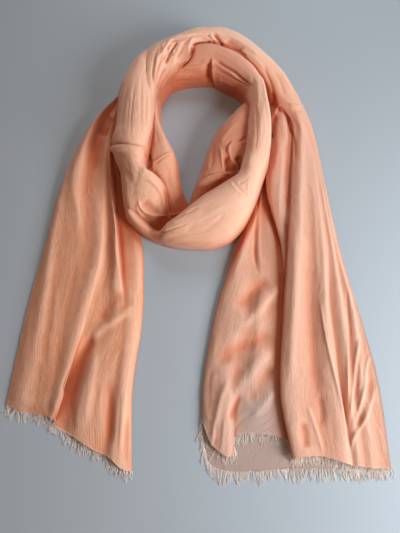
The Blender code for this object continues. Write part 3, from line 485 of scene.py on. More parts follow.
RIGHT_INNER_CREASES = creases((
    (1.6, 1.5, 35, 98, 37, 88, 37.5, 78, 38.5, 66, 40, 58),
    (-6, 3.4, 44, 84, 43.5, 74, 45, 65, 47, 56),
    (2.6, 1.5, 50, 104, 47, 94, 47.5, 84, 49, 76, 54, 68, 56, 60),
    (-5, 2.8, 58, 84, 59.5, 74, 61, 66, 60, 56),
    (-1.6, 1.4, 50, 108, 45, 97, 42.5, 86),
    ("layer", 2.2, 1.6, 58, 57, 48, 56, 38, 56.5, 29, 55, 20, 51, 12, 44.5, 6, 37, 2, 27),
    (1.4, 4.5, 44, 50, 30, 47, 17, 41, 8, 32),
    (-1.2, 4.5, 44, 40, 30, 34, 17, 26),
    (-1.8, 2.4, 76, 160, 74, 145, 74, 130, 72, 114, 62, 106, 50, 103),
    (0.9, 3, 60, 140, 52, 128, 42, 114, 34, 100),
    (-0.8, 2, 30, 104, 27, 90, 26, 76, 24, 62),
    (0.7, 2, 22, 88, 21, 74, 20, 60),
    (-0.8, 2, 66, 104, 66, 92, 66, 78),
))
BACK_BAND_CREASES = creases((
    ("layer", 4.4, 1.4, -27, 234, -21, 240, -13, 246.5, -8.5, 255, -6, 265, -4, 277),
    (-1.6, 1.5, -50, 276, -54, 262, -56, 246, -57, 226, -56, 206),
    (2.2, 1.5, -48, 268, -51, 252, -53, 234, -54, 212, -52, 190),
    (-1.6, 1.5, -44, 262, -47, 244, -50, 226, -51, 206, -49, 186),
    (-4.2, 1.9, -24, 290, -26, 280, -30, 270, -34, 260, -36, 250, -40, 238),
    (2.6, 2.6, -16, 284, -21, 270, -26, 256, -31, 238, -37, 218, -45, 206),
    (2.4, 1.8, -30, 294, -36, 282, -41, 270, -45, 256),
    (-2.2, 1.4, -36, 240, -41, 228, -45, 214, -47, 200, -46, 184),
    (1.8, 1.1, -38, 288, -44, 276, -43, 266, -48, 256, -47, 246),
    (-1.6, 1, -30, 283, -37, 273, -36, 264, -41, 254, -42, 243),
    (1.5, 1, -22, 276, -29, 267, -28, 258, -34, 249, -36, 238),
    (-1.8, 1.3, -29, 236, -35, 224, -40, 212, -44, 198, -44, 184),
    (-1.8, 2.4, -8, 292, -15, 278, -18, 264, -24, 250),
    (3.2, 2.4, 4, 298, -3, 288, -8, 274, -10, 260, -15, 249, -25, 241),
    (-1.4, 1.2, -36, 282, -30, 287, -20, 289, -8, 290),
    (-1.1, 1.2, -30, 277, -26, 283, -17, 286),
    (-4, 3.2, 24, 280, 14, 281, 5, 282, 0, 276),
    (-5, 2.2, 30, 305, 33, 298, 37, 290, 40, 283, 42, 273),
    (2.6, 2.6, 24, 302, 28, 293, 32, 285, 35, 276),
    (2.4, 1.5, 14, 294, 21, 291, 26, 286, 24, 280, 17, 277),
    (-1.6, 1.3, 21, 287, 23, 284, 20, 281),
    (1, 1.8, -34, 291, -20, 298, -4, 301, 14, 303, 30, 301),
    (-0.9, 1.8, -36, 284, -22, 291, -6, 295, 12, 297),
    (-2.6, 5, 46, 289, 58, 279, 72, 266),
    (-2.4, 1.8, 52, 278, 64, 269, 78, 256),
    (0.9, 3, 50, 299, 68, 286, 86, 268, 98, 250),
    (0.8, 2.6, 78, 264, 90, 250, 101, 232, 108, 214),
    (-1.5, 2.4, 100, 240, 104, 222, 108, 206, 110, 190, 109, 176),
    (-1, 2.6, 112, 232, 120, 214, 124, 196, 125, 180),
    (0.9, 2.4, 124, 222, 132, 204, 137, 188),
    (-3.6, 3, 106, 188, 110, 182, 110, 174, 107, 162),
    (2, 1.6, 119, 169, 114, 160, 109.5, 150, 105, 141, 103, 128),
    (-4.2, 2.4, 112, 150, 110, 141, 107, 130, 105, 118, 102, 106),
    (1.6, 3.4, 119, 166, 120, 150, 121, 134, 121.5, 116, 120, 96),
    (-2.2, 1.5, 119, 166, 124, 152, 127.5, 142, 127.5, 130, 130.5, 118, 133, 104, 132, 88, 130, 70),
    (1.4, 2.2, 130, 168, 138, 165, 146, 162),
    (-0.9, 1.8, 134, 158, 142, 156, 149, 155),
    (0.9, 2.6, 136, 150, 142, 132, 146, 112, 148, 92),
    (-0.8, 2.4, 146, 148, 151, 128, 154, 106, 156, 82),
))
TAIL_LEFT_CREASES = creases((
    # roll and left edge
    (0.9, 4.5, -118, 143, -138, 107, -147.5, 68, -146, 34, -138, 9, -132, -18, -127, -47),
    (-4, 4, -106, 148, -110, 138, -114, 126, -120, 112),
    (-2.2, 7, -112, 134, -120, 112, -124, 88, -126, 56),
    (-0.8, 5, -128, -50, -132, -80, -136, -120, -138, -170, -140, -210),
    (0.7, 5, -161, -46, -160, -88, -158, -143, -156, -200),
    (0.6, 4, -148, -80, -147, -120, -147, -160, -148, -205),
    (-0.5, 4, -168, -60, -169, -110, -168, -160, -166, -206),
    # edges of the pleats
    (-1.6, 1.6, -107, 68, -99, 34, -90.5, 1, -85, -27, -79.4, -60, -74, -99, -71, -112),
    (1, 2, -100, 10, -94, -20, -88, -46, -81, -78, -76, -104),
    (-1.6, 8, -78, -96, -88, -114, -99, -134),
    # hem
    (1.6, 4.6, -62, -115, -75, -127, -89, -137, -100, -147, -106, -162),
    (-3.4, 5, -100, -144, -109, -160, -117, -182, -127, -212),
    (0.8, 4, -99, -160, -100, -190, -102, -216, -103, -240),
    (-1.6, 4, -84, -190, -81, -212, -79, -236, -77, -258),
    (0.9, 2.6, -66, -200, -66, -230, -67, -262),
    (-0.7, 2, -62, -230, -62, -250, -60, -272),
    (-0.6, 2.4, -116, -214, -115, -228, -112, -244),
))
TAIL_UNDER_CREASES = creases((
    # down the left edge
    (-1.6, 2.2, 82, 36, 79, 2, 75, -31, 73, -60, 76, -82),
    (1, 3, 80, 10, 79, -20, 78, -48, 80, -74),
    (0.7, 3, 72, 10, 66, -20, 58, -50, 46, -90),
    # slanting folds
    (-2.6, 7, 88, -84, 76, -92, 64, -104, 50, -120),
    (2.8, 6.5, 102, -92, 88, -103, 76, -116, 64, -130, 48, -142),
    (-2.6, 8, 90, -146, 72, -152, 56, -158, 42, -166, 28, -182),
    (2.3, 7, 88, -160, 72, -174, 56, -192, 44, -208, 36, -226),
    (1.6, 3, 40, -190, 32, -208, 27, -226, 23, -244, 21, -258),
    (-2, 2.8, 50, -206, 44, -220, 39, -234),
    (-2.2, 7, 88, -180, 76, -192, 66, -204, 56, -217),
    (1.6, 4, 86, -204, 74, -216, 60, -230),
    # hem
    (-0.6, 2.4, 22, -180, 19, -204, 19, -226),
    (0.8, 1.4, 34, -230, 32, -248, 30, -262),
    (-0.8, 1.2, 26, -232, 25, -246, 23, -258),
))
TAIL_OVER_CREASES = creases((
    # pleat and strand
    (1.2, 4, 122, -14, 119, -50, 114, -98, 108, -139, 103, -181, 99, -205),
    (-1.2, 6, 131, -40, 129, -90, 127, -150, 128, -200, 131, -236),
    (-2.2, 4, 110, -232, 111, -243, 112, -258),
    (1.3, 1.8, 116, -216, 120, -230, 124, -246, 127, -264),
    (-1.2, 3.4, 130, -208, 130, -224, 128, -240),
    (-0.6, 2.4, 136, 40, 134, 0, 131, -40),
    (0.6, 2.6, 146, 60, 148, 10, 144, -40, 142, -90),
    # outer ridges
    (1.2, 1.3, 141, -100, 143, -150, 146, -180, 149.5, -207, 151, -228, 151, -250, 150, -268),
    (-1, 1.5, 147, -114, 148.5, -153, 151, -186, 153, -214, 153.5, -236, 152.5, -262),
    (1.2, 1.2, 169, -98, 166, -148, 162, -180, 158.5, -208, 155, -232, 153, -250),
    (-0.8, 1.6, 173, -84, 170, -130, 167, -160, 164, -186, 160, -214),
    (1.2, 1.5, 182, -140, 173, -168, 167, -190, 161, -214, 155, -240),
    (-0.9, 1.8, 181, -158, 173, -180, 169, -198, 163, -220),
    (1.5, 1.5, 188, -166, 181, -180, 177, -198, 169, -218, 160, -236),
    (-1, 2.2, 185, -186, 180, -204, 172, -222, 164, -236, 157, -246),
    (1.2, 1.5, 188, -196, 181, -214, 172, -231, 164, -241, 157, -250, 154, -264),
    (-0.6, 2, 156, 60, 158, 0, 160, -60),
    (0.6, 2, 116, 96, 112, 60, 106, 20, 104, -20),
))

# The ring's stretches: the nodes each one shows, the nodes that hide its ends, and how much
# its first and its last part are shaded by the ring around them
Stretch = namedtuple("Stretch", "name sections creases seed arcs fullness shade nodes flat hidden_by")

STRETCHES = table(Stretch, (
    ("ring_left_strand", LEFT_STRAND, LEFT_STRAND_CREASES, 3, 130, 0.85, (0.08, 0.08),
     ("wrap_left",), (0.135, 0.27), ("wrap_back_outer", "wrap_front", "tail_left")),
    ("ring_front_band", FRONT_BAND, FRONT_BAND_CREASES, 5, 130, 0.7, (0.0, 0.5),
     ("wrap_front", "wrap_right", "wrap_back_inner"), (0.125, 0.46),
     ("wrap_left", "wrap_back_outer", "wrap_left_inner")),
    ("ring_left_inner", LEFT_INNER, LEFT_INNER_CREASES, 7, 90, 0.85, (0.25, 0.35),
     ("wrap_left_inner",), (0.095, 0.145), ("wrap_left", "wrap_front", "wrap_back_outer")),
    ("ring_right_inner", RIGHT_INNER, RIGHT_INNER_CREASES, 11, 120, 0.85, (0.6, 0.45),
     ("wrap_right_inner",), (0.115, 0.145), ("wrap_right", "wrap_front", "wrap_left_inner")),
))

# The frayed ends, with the loose threads that lie by themselves
Fringe = namedtuple("Fringe", "name node seed strays")

LEFT_FRINGE = Fringe("fringe_left_threads", "fringe_left", 23, (
    ((-176, -222, 1.4), (-183, -223.5, 0.8), (-189, -222.6, 0.5), (-195, -223, 0.4)),
    ((-170, -223, 1.4), (-176, -227, 0.8), (-182, -227.5, 0.5), (-186, -225.5, 0.5)),
    ((-150, -229, 2.0), (-156, -231.5, 1.2), (-160, -230.5, 0.6)),
    ((-142, -229, 2.0), (-138, -234, 1.4), (-134, -237, 0.6), (-133, -241, 0.5)),
))
RIGHT_FRINGE = Fringe("fringe_right_threads", "fringe_right", 31, (
    ((20, -246, 3.2), (16, -252, 2.2), (13, -256, 1.0), (15, -258, 0.6)),
    ((26, -257, 3.2), (22, -263, 2.2), (19, -268, 1.0), (17, -271, 0.6)),
))


def eased(share):
    """A share from 0 to 1 that starts and ends softly."""
    return share * share * (3 - 2 * share)


def ramp(values, start, full):
    """How far values are on the way from start to full, from 0 to 1."""
    return np.clip((values - start) / (full - start), 0, 1)


def spacings(points, axis=0):
    """The distance from each point to the next."""
    return np.linalg.norm(np.diff(points, axis=axis), axis=-1)


def running(lengths):
    """Running totals of lengths, from 0."""
    return np.concatenate([[0], np.cumsum(lengths)])


def smooth_values(stations, values, places):
    """A smooth curve through rows of values that never swings past them."""
    gaps = np.diff(stations)[:, None]
    slopes = np.diff(values, axis=0) / gaps
    tangents = np.zeros_like(values)
    tangents[0] = slopes[0]
    tangents[-1] = slopes[-1]
    product = slopes[:-1] * slopes[1:]
    total = slopes[:-1] + slopes[1:]
    tangents[1:-1] = np.where(product > 0, 2 * product / np.where(total == 0, 1, total), 0)
    span = np.clip(np.searchsorted(stations, places, side="right") - 1, 0, len(gaps) - 1)
    t = ((places - stations[span]) / gaps[span, 0])[:, None]
    h = gaps[span]
    return (
        (1 + 2 * t) * (1 - t) ** 2 * values[span]
        + t * (1 - t) ** 2 * h * tangents[span]
        + eased(t) * values[span + 1]
        - t * t * (1 - t) * h * tangents[span + 1]
    )


def round_curve(points, steps):
    """Points along a rounded curve; steps is one number, or one for each gap.

    The points may be rows of points, one curve for each.
    """
    points = np.asarray(points, float)
    count = len(points)
    steps = [steps] * (count - 1) if isinstance(steps, int) else steps
    padded = np.concatenate([2 * points[:1] - points[1:2], points, 2 * points[-1:] - points[-2:-1]])
    gaps = np.maximum(spacings(padded), LEAST) ** 0.5
    knots = np.concatenate([np.zeros_like(gaps[:1]), np.cumsum(gaps, axis=0)])
    result = []
    for i in range(1, count):
        p = padded[i - 1 : i + 3]
        k = knots[i - 1 : i + 3][..., None]
        for share in np.arange(steps[i - 1]) / steps[i - 1]:
            t = k[1] + (k[2] - k[1]) * share
            a = [(p[j] * (k[j + 1] - t) + p[j + 1] * (t - k[j])) / (k[j + 1] - k[j]) for j in range(3)]
            b = [(a[j] * (k[j + 2] - t) + a[j + 1] * (t - k[j])) / (k[j + 2] - k[j]) for j in range(2)]
            result.append((b[0] * (k[2] - t) + b[1] * (t - k[1])) / (k[2] - k[1]))
    result.append(points[-1])
    return np.array(result)


def section_points(columns, across, fullness=1.0):
    """Points over rounded sections: rows of sections, a column for each place across.

    A fullness below 1 makes the top flatter and the sides steeper.
    """
    tuck = math.radians(FOOT_TUCK)
    angles = -tuck + (math.pi + 2 * tuck) * np.asarray(across)
    spread = 0.5 - 0.5 * np.cos(angles)
    lift = (np.sin(angles) + math.sin(tuck)) / (1 + math.sin(tuck))
    lift = np.maximum(lift, 0) ** fullness
    outer = columns[:, None, 0:2]
    inner = columns[:, None, 2:4]
    width = np.linalg.norm(inner - outer, axis=2, keepdims=True)
    side = (inner - outer) / width
    skew = 2 * (columns[:, None, 5] - 0.5)
    reach = (spread + skew * spread * (1 - spread)) * width[..., 0]
    height = lift * columns[:, None, 4]
    flat = outer + side * reach[..., None]
    return np.concatenate([flat, height[..., None]], axis=2)


def band_grid(stretch, rows, arcs):
    """A band's rounded top: so many rows from section to section, and so many arcs across."""
    last = len(stretch.sections) - 1
    places = np.linspace(0, last, last * rows + 1)
    columns = smooth_values(np.arange(last + 1.0), np.array(stretch.sections, float), places)
    return section_points(columns, np.linspace(0, 1, arcs + 1), stretch.fullness)


def fold_rows(folds):
    """Control points of a tail: a row per station and one for the hem, a column per fold."""
    rows = []
    for k, station in enumerate(STATIONS):
        rows.append([(fold.across[k], min(station, fold.top), fold.height[k]) for fold in folds])
    rows.append([(fold.hem_across, fold.hem, fold.hem_height) for fold in folds])
    return np.array(rows, float)


def refine(control, rows, spacing):
    """A fine grid through control points: smooth down each column, rounded across."""
    stations = running(spacings(control).mean(axis=1))
    places = np.linspace(0, stations[-1], rows + 1)
    lines = smooth_values(stations, control.reshape(len(control), -1), places)
    lines = lines.reshape(-1, control.shape[1], 3)
    widths = spacings(control, axis=1).max(axis=0)
    steps = [int(min(max(round(w / spacing), FEWEST_ACROSS), MOST_ACROSS)) for w in widths]
    return np.swapaxes(round_curve(np.swapaxes(lines, 0, 1), steps), 0, 1)


def seen(points):
    """Where points show against the floor from the viewing point."""
    flat = points[..., :2] - EYE[:2]
    return EYE[:2] + flat * EYE[2] / (EYE[2] - points[..., 2:3])


def path_distance(path, places):
    """Signed distance of places from a path, over 0 to its left, and the share along it."""
    best = np.full(places.shape[:-1], np.inf)
    signed = np.zeros_like(best)
    along = np.zeros_like(best)
    done = running(spacings(path))
    for i, length in enumerate(np.diff(done)):
        step = (path[i + 1] - path[i]) / length
        gap = places - path[i]
        t = np.clip(gap @ step, 0, length)
        away = np.linalg.norm(gap - t[..., None] * step, axis=-1)
        nearer = away < best
        side = np.sign(step[0] * gap[..., 1] - step[1] * gap[..., 0])
        best = np.where(nearer, away, best)
        signed = np.where(nearer, away * side, signed)
        along = np.where(nearer, (done[i] + t) / done[-1], along)
    return signed, along


def crease_heights(creases, places):
    """How far creases lift the cloth at places, and how deep in a trough each place is, for the painted
    fold shade.
    """
    lift = np.zeros(places.shape[:-1])
    depth = np.zeros_like(lift)
    for crease in creases:
        width = crease.width
        path = round_curve(crease.path, CREASE_STEPS)
        low = path.min(axis=0) - CREASE_SPAN * width
        high = path.max(axis=0) + CREASE_SPAN * width
        near = np.all((places > low) & (places < high), axis=-1)
        if not near.any():
            continue
        away, along = path_distance(path, places[near])
        fade = eased(np.clip(np.minimum(along, 1 - along) / CREASE_FADE, 0.0, 1))
        fade = np.where(np.abs(away) > CREASE_END * width, 0, fade)
        if crease.kind == "layer":
            rise = 0.5 + 0.5 * np.tanh(away / (EDGE_SPAN * width))
            shape = rise * np.exp(-np.maximum(away, 0) / (SINK_SPAN * width))
            trough = np.exp(-((away + GROOVE_PLACE * width) / (GROOVE_WIDTH * width)) ** 2)
        else:
            shape = np.exp(-((away / width) ** 2))
            trough = shape if crease.rise < 0 else np.zeros_like(shape)
        lift[near] += crease.rise * shape * fade
        depth[near] = np.maximum(depth[near], trough * fade * min(abs(crease.rise) / FULL_RISE, 1))
    return lift, depth


def value_noise(rng, u, v, grain):
    """Smooth noise from -1 to 1 over cloth places u and v."""
    cells, shares = [], []
    for places, size in ((u, grain.across), (v, grain.along)):
        cell = np.floor(places / size).astype(int)
        cells.append(cell - cell.min())
        shares.append(eased(places / size - cell))
    (i, j), (x, y) = cells, shares
    lattice = rng.uniform(-1, 1, (i.max() + 2, j.max() + 2))
    low = lattice[i, j] * (1 - x) + lattice[i + 1, j] * x
    high = lattice[i, j + 1] * (1 - x) + lattice[i + 1, j + 1] * x
    return low * (1 - y) + high * y


def cloth_places(grid):
    """Places on the cloth itself: u across and v along, in millimetres."""
    u = np.array([running(across) for across in spacings(grid, axis=1)])
    u -= u[:, -1:] / 2
    v = running(spacings(grid).mean(axis=1))[:, None] * np.ones_like(u)
    return u, v


def grid_normals(grid):
    normals = np.cross(np.gradient(grid, axis=1), np.gradient(grid, axis=0))
    return normals / np.maximum(np.linalg.norm(normals, axis=2, keepdims=True), LEAST)


def ripple(seed, u, v, size):
    """Small gathers and crumples of the cloth, in millimetres of height."""
    rng = np.random.default_rng(seed)
    bend = BEND.share * value_noise(rng, u, v, BEND)
    broad = BROAD.share * value_noise(rng, u + bend, v, BROAD)
    fine = FINE.share * value_noise(rng, u + bend, v, FINE)
    crumple = CRUMPLE.share * (1 - 2 * np.abs(value_noise(rng, u + bend, v + bend, CRUMPLE)))
    small = SMALL.share * value_noise(rng, u, v, SMALL)
    return size * (broad + fine + crumple + small)


def blurred(grid, reach):
    """A grid's values evened out over a few cells each way."""
    for axis in (0, 1):
        edge = [(0, 0)] * grid.ndim
        edge[axis] = (reach + 1, reach)
        total = np.cumsum(np.pad(grid, edge, mode="edge"), axis=axis)
        count = grid.shape[axis]
        high = np.take(total, np.arange(2 * reach + 1, 2 * reach + 1 + count), axis=axis)
        low = np.take(total, np.arange(count), axis=axis)
        grid = (high - low) / (2 * reach + 1)
    return grid


def hollows(grid, normals):
    """How far each place lies below the cloth around it: 1 in a deep hollow, -1 on a high crest."""
    below = sum(((blurred(grid, reach) - grid) * normals).sum(axis=2) for reach in HOLLOW_REACHES)
    return np.clip(below / HOLLOW_DEPTH, -1, 1)


def grid_faces(rows, columns, start=0):
    index = start + np.arange(rows * columns).reshape(rows, columns)
    corners = (index[:-1, :-1], index[:-1, 1:], index[1:, 1:], index[1:, :-1])
    return np.stack([corner.ravel() for corner in corners], axis=1).tolist()


def cloth_tree():
    """All the cloth before its creases, coarsely, for asking what stands around a place."""
    grids = [band_grid(stretch, *LOOK_BAND) for stretch in STRETCHES]
    grids += [refine(tail.control, tail.look_rows, LOOK_SPACING) for tail in TAILS]
    points, faces = [], []
    for grid in grids:
        faces += grid_faces(*grid.shape[:2], start=len(points))
        points += grid.reshape(-1, 3).tolist()
    return BVHTree.FromPolygons(points, faces)


def closeness(grid, normals, tree):
    """How much of the light at each place is closed off by cloth around it, from 0 to 1.

    It is asked on every few places of the grid and filled in between them.
    """
    rng = np.random.default_rng(1)
    turns = rng.uniform(0, 2 * math.pi, LOOKS)
    reach = np.sqrt((np.arange(LOOKS) + 0.5) / LOOKS)
    looks = np.stack([reach * np.cos(turns), reach * np.sin(turns), np.sqrt(1 - reach**2)], axis=1)
    looks = [Vector(look) for look in looks]
    rows, columns = (np.unique(np.r_[0:count:LOOK_STRIDE, count - 1]) for count in grid.shape[:2])
    closed = np.zeros((len(rows), len(columns), 1))
    for i, row in enumerate(rows):
        for j, column in enumerate(columns):
            normal = Vector(normals[row, column])
            turn = Vector((0, 0, 1)).rotation_difference((normal + LOOK_LEAN).normalized())
            place = Vector(grid[row, column]) + normal * LOOK_START
            for look in looks:
                way = turn @ look
                if way.z < LOOK_LOWEST or tree.ray_cast(place, way, LOOK_REACH)[0] is not None:
                    closed[i, j] += 1
    closed = blurred(closed / LOOKS, 1)[..., 0]
    filled = np.array([np.interp(np.arange(grid.shape[1]), columns, line) for line in closed])
    return np.array([np.interp(np.arange(len(grid)), rows, line) for line in filled.T]).T


def dress(grid, creases, seed, size, tree):
    """Lifts a grid's cloth by its creases and ripples.

    Returns it with its places on the cloth and its marks: painted shade in its folds and where
    the cloth around closes off the light, and how pale it is with the layers under it, with a
    painted highlight on crests.
    """
    normals = grid_normals(grid)
    if normals[..., 2].mean() < 0:
        grid = grid[:, ::-1]
        normals = -normals[:, ::-1]
    u, v = cloth_places(grid)
    lift, depth = crease_heights(creases, seen(grid))
    lift += ripple(seed, u, v, size)
    # Painted shade where the cloth around closes off the light
    inner = ramp(closeness(grid, normals, tree), *CLOSED_SPAN)
    grid = grid + normals * lift[..., None]
    grid[..., 2] = np.maximum(grid[..., 2], REST)
    below = hollows(grid, normals)
    # Painted shade in hollows and creases
    painted_hollow_shade = HOLLOW_SHADE * np.maximum(below, CREASE_SHADE * depth)
    # Crests get a painted highlight
    crest = np.clip(-CREST_HIGHLIGHT * below, 0, CREST_HIGHLIGHT_MOST)
    marks = {
        "trough": 1 - (1 - painted_hollow_shade) * (1 - inner),
        "layers": np.maximum(ramp(grid[..., 2], *LAYERS_SPAN), crest),
    }
    return grid, u, v, marks


def paint_shade(marks, shade):
    """Paints the shade of folds into all of a cloth, by a share that may differ over it."""
    marks["trough"] = 1 - (1 - marks["trough"]) * (1 - shade)


def shade_left(grid, down, marks):
    """The left tail looks thinner at its hem."""
    marks["thin"] = LEFT_THIN * ramp(down, *LEFT_SPAN) * (1 - marks["trough"])


def shade_under(grid, down, marks):
    """The right tail's under layer: painted shade over all of it, one layer on the sheet, and thin
    where it turns over it.
    """
    paint_shade(marks, UNDER_SHADE)
    thin = (UNDER_THIN + UNDER_MORE * ramp(down, *UNDER_SPAN)) * (1 - marks["trough"])
    thin += HEM_THIN * ramp(grid[..., 0], *HEM_ACROSS) * ramp(down, *HEM_SPAN)
    marks["thin"] = np.where(grid[..., 2] < ONE_LAYER_HEIGHT, ONE_LAYER, thin)


def shade_over(grid, down, marks):
    """The right tail's upper cloth: shaded inwards of its outer ridges, and thin down from the ring."""
    across = ramp(grid[..., 0], *OVER_SHADE_ACROSS)
    paint_shade(marks, OVER_SHADE * ramp(grid[..., 1], *OVER_SHADE_UP) * across)
    folds = 1 - OVER_THIN_FOLDS * marks["trough"]
    marks["thin"] = OVER_THIN * ramp(grid[..., 1], *OVER_THIN_UP) * folds


# The tails' stretches of cloth. The last one starts as the back band
Tail = namedtuple("Tail", "name control creases seed rows spacing look_rows shade nodes hidden_by")

BAND_ROOT = section_points(np.array(BACK_BAND, float), OVER_ON_BAND)
TAILS = table(Tail, (
    ("tail_left_cloth", fold_rows(TAIL_LEFT), TAIL_LEFT_CREASES, 17, 260, 1.5, 60, shade_left,
     ("tail_left",), ("wrap_left", "wrap_front")),
    ("tail_right_under", fold_rows(TAIL_UNDER), TAIL_UNDER_CREASES, 19, 250, 1.6, 60, shade_under,
     ("tail_right",), ("wrap_right", "wrap_front", "wrap_back_outer")),
    ("back_band_and_tail", np.concatenate([BAND_ROOT, fold_rows(TAIL_OVER)[1:]]),
     BACK_BAND_CREASES + TAIL_OVER_CREASES, 29, 560, 1.3, 120, shade_over,
     ("wrap_back_outer", "tail_right"), ("wrap_left", "wrap_right")),
))


def add_item(name, data):
    item = bpy.data.objects.new(name, data)
    bpy.context.scene.collection.objects.link(item)
    return item


def add_mesh(name, points, faces, marks):
    """A mesh object from points in millimetres, with marks on its points."""
    mesh = bpy.data.meshes.new(name)
    metres = (np.asarray(points, float).reshape(-1, 3) - (*MIDDLE, 0)) * MM
    mesh.from_pydata(metres.tolist(), [], faces)
    for key, values in marks.items():
        mark = mesh.attributes.new(key, "FLOAT", "POINT")
        mark.data.foreach_set("value", np.asarray(values, np.float32).ravel())
    mesh.shade_smooth()
    return add_item(name, mesh)


def inside(tree, place):
    """True if a ray up from a place leaves the solid once more than it enters it."""
    count = 0
    start = place.copy()
    for _ in range(MOST_WALLS):
        hit = tree.ray_cast(start, UPWARD)[0]
        if hit is None:
            break
        count += 1
        start = hit + UPWARD * PAST_WALL
    return count % 2 == 1


def remove_hidden(item, nodes):
    """Removes faces that lie deep inside other solids, where another stretch covers them."""
    solids = []
    for node in nodes:
        shape = bmesh.new()
        shape.from_mesh(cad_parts[node].data)
        solids.append((BVHTree.FromBMesh(shape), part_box(node)))
        shape.free()

    def covered(place):
        for tree, (low, high) in solids:
            if all(low[k] <= place[k] <= high[k] for k in range(3)):
                if tree.find_nearest(place, HIDDEN_DEPTH * MM)[0] is None and inside(tree, place):
                    return True
        return False

    mesh = bmesh.new()
    mesh.from_mesh(item.data)
    hidden = {vertex for vertex in mesh.verts if covered(vertex.co)}
    faces = [face for face in mesh.faces if all(vertex in hidden for vertex in face.verts)]
    bmesh.ops.delete(mesh, geom=faces, context="FACES")
    loose = [vertex for vertex in mesh.verts if not vertex.link_faces]
    bmesh.ops.delete(mesh, geom=loose, context="VERTS")
    mesh.to_mesh(item.data)
    mesh.free()


def fit_piece(item, material, nodes):
    """Gives a piece its material and its body, and hides the CAD parts of the nodes it stands for."""
    item.data.materials.append(material)
    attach(item, "root")
    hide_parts(*nodes)


def cloth_piece(source, grid, u, v, marks, material):
    """A stretch of cloth over its grid, without what other stretches cover."""
    item = add_mesh(source.name, grid, grid_faces(*grid.shape[:2]), marks)
    mesh = item.data
    corners = np.zeros(len(mesh.loops), np.int32)
    mesh.loops.foreach_get("vertex_index", corners)
    places = (np.stack([u, v], axis=2).reshape(-1, 2)[corners] * MM).astype(np.float32)
    mesh.uv_layers.new(name="cloth").data.foreach_set("uv", places.ravel())
    remove_hidden(item, source.hidden_by)
    fit_piece(item, material, source.nodes)
    return item


def band_piece(stretch, tree, material):
    """A gathered stretch of the ring: its rounded top and the flat cloth it rests on."""
    grid = band_grid(stretch, BAND_ROWS, stretch.arcs)
    grid, u, v, marks = dress(grid, stretch.creases, stretch.seed, RING_RIPPLE, tree)
    grid[:, [0, -1], 2] = REST
    inner = grid[:, -1:]
    base = inner + (grid[:, :1] - inner) * np.array(FOOT_SHARES)[:, None]
    reach = np.linalg.norm(base - inner, axis=2)
    grid = np.concatenate([grid, base], axis=1)
    u = np.concatenate([u, u[:, -1:] + reach], axis=1)
    v = np.concatenate([v, v[:, : len(FOOT_SHARES)]], axis=1)
    # The flat cloth under a band gets every mark in full, so the darkest painted fold shade
    marks = {key: np.concatenate([mark, np.ones_like(reach)], axis=1) for key, mark in marks.items()}
    # Painted shade from the ring around, more towards the far part of a stretch
    near, far = stretch.shade
    paint_shade(marks, near + (far - near) * ramp(v / v.max(), *FAR_SPAN))
    marks["thin"] = np.zeros_like(u)
    return cloth_piece(stretch, grid, u, v, marks, material)


def tail_piece(tail, tree, material):
    """A tail's stretch of cloth, and the grid of its points."""
    grid = refine(tail.control, tail.rows, tail.spacing)
    grid, u, v, marks = dress(grid, tail.creases, tail.seed, TAIL_RIPPLE, tree)
    tail.shade(grid, v / v.max(), marks)
    return cloth_piece(tail, grid, u, v, marks, material), grid


def thread(rng, root, heading, tip):
    """Places down one frayed thread and its radius at each, from its root towards its tip."""
    bow = rng.normal(0, THREAD_BOW)
    kink = rng.normal(0, THREAD_KINK)
    side = np.array([math.cos(heading), math.sin(heading)])
    places, radii = [], []
    for k in range(THREAD_STEPS + 1):
        share = k / THREAD_STEPS
        sway = bow * math.sin(math.pi * share) + kink * math.sin(KINK_WAVES * math.pi * share)
        flat = root[:2] * (1 - share) + tip * share + side * sway
        low = THREAD_LOW + THREAD_LIFT * rng.random() * share
        fall = max(1 - THREAD_FALL * share, 0) ** FALL_POWER
        places.append((flat[0], flat[1], low + (max(root[2], ROOT_LOWEST) - low) * fall))
        radii.append(THREAD_RADIUS * (1 - THREAD_TAPER * share))
    return np.array(places), radii


class Tubes:
    """The points, faces and shades of thin three-sided tubes."""

    def __init__(self):
        self.points, self.faces, self.shades = [], [], []

    def add_tube(self, places, radii, shade):
        start = len(self.points)
        for k, (place, radius) in enumerate(zip(places, radii)):
            ahead = places[min(k + 1, len(places) - 1)] - places[max(k - 1, 0)]
            side = np.array([ahead[1], -ahead[0], 0]) / max(math.hypot(ahead[0], ahead[1]), LEAST)
            for turn in THREAD_TURNS:
                around = side * math.cos(turn) + np.array([0, 0, math.sin(turn)])
                self.points.append(place + radius * around)
                self.shades.append(shade)
            if k:
                ring = start + 3 * (k - 1)
                for a, b in ((0, 1), (1, 2), (2, 0)):
                    self.faces.append((ring + a, ring + b, ring + b + 3, ring + a + 3))
        end = len(self.points)
        self.faces += [(start, start + 2, start + 1), (end - 3, end - 2, end - 1)]


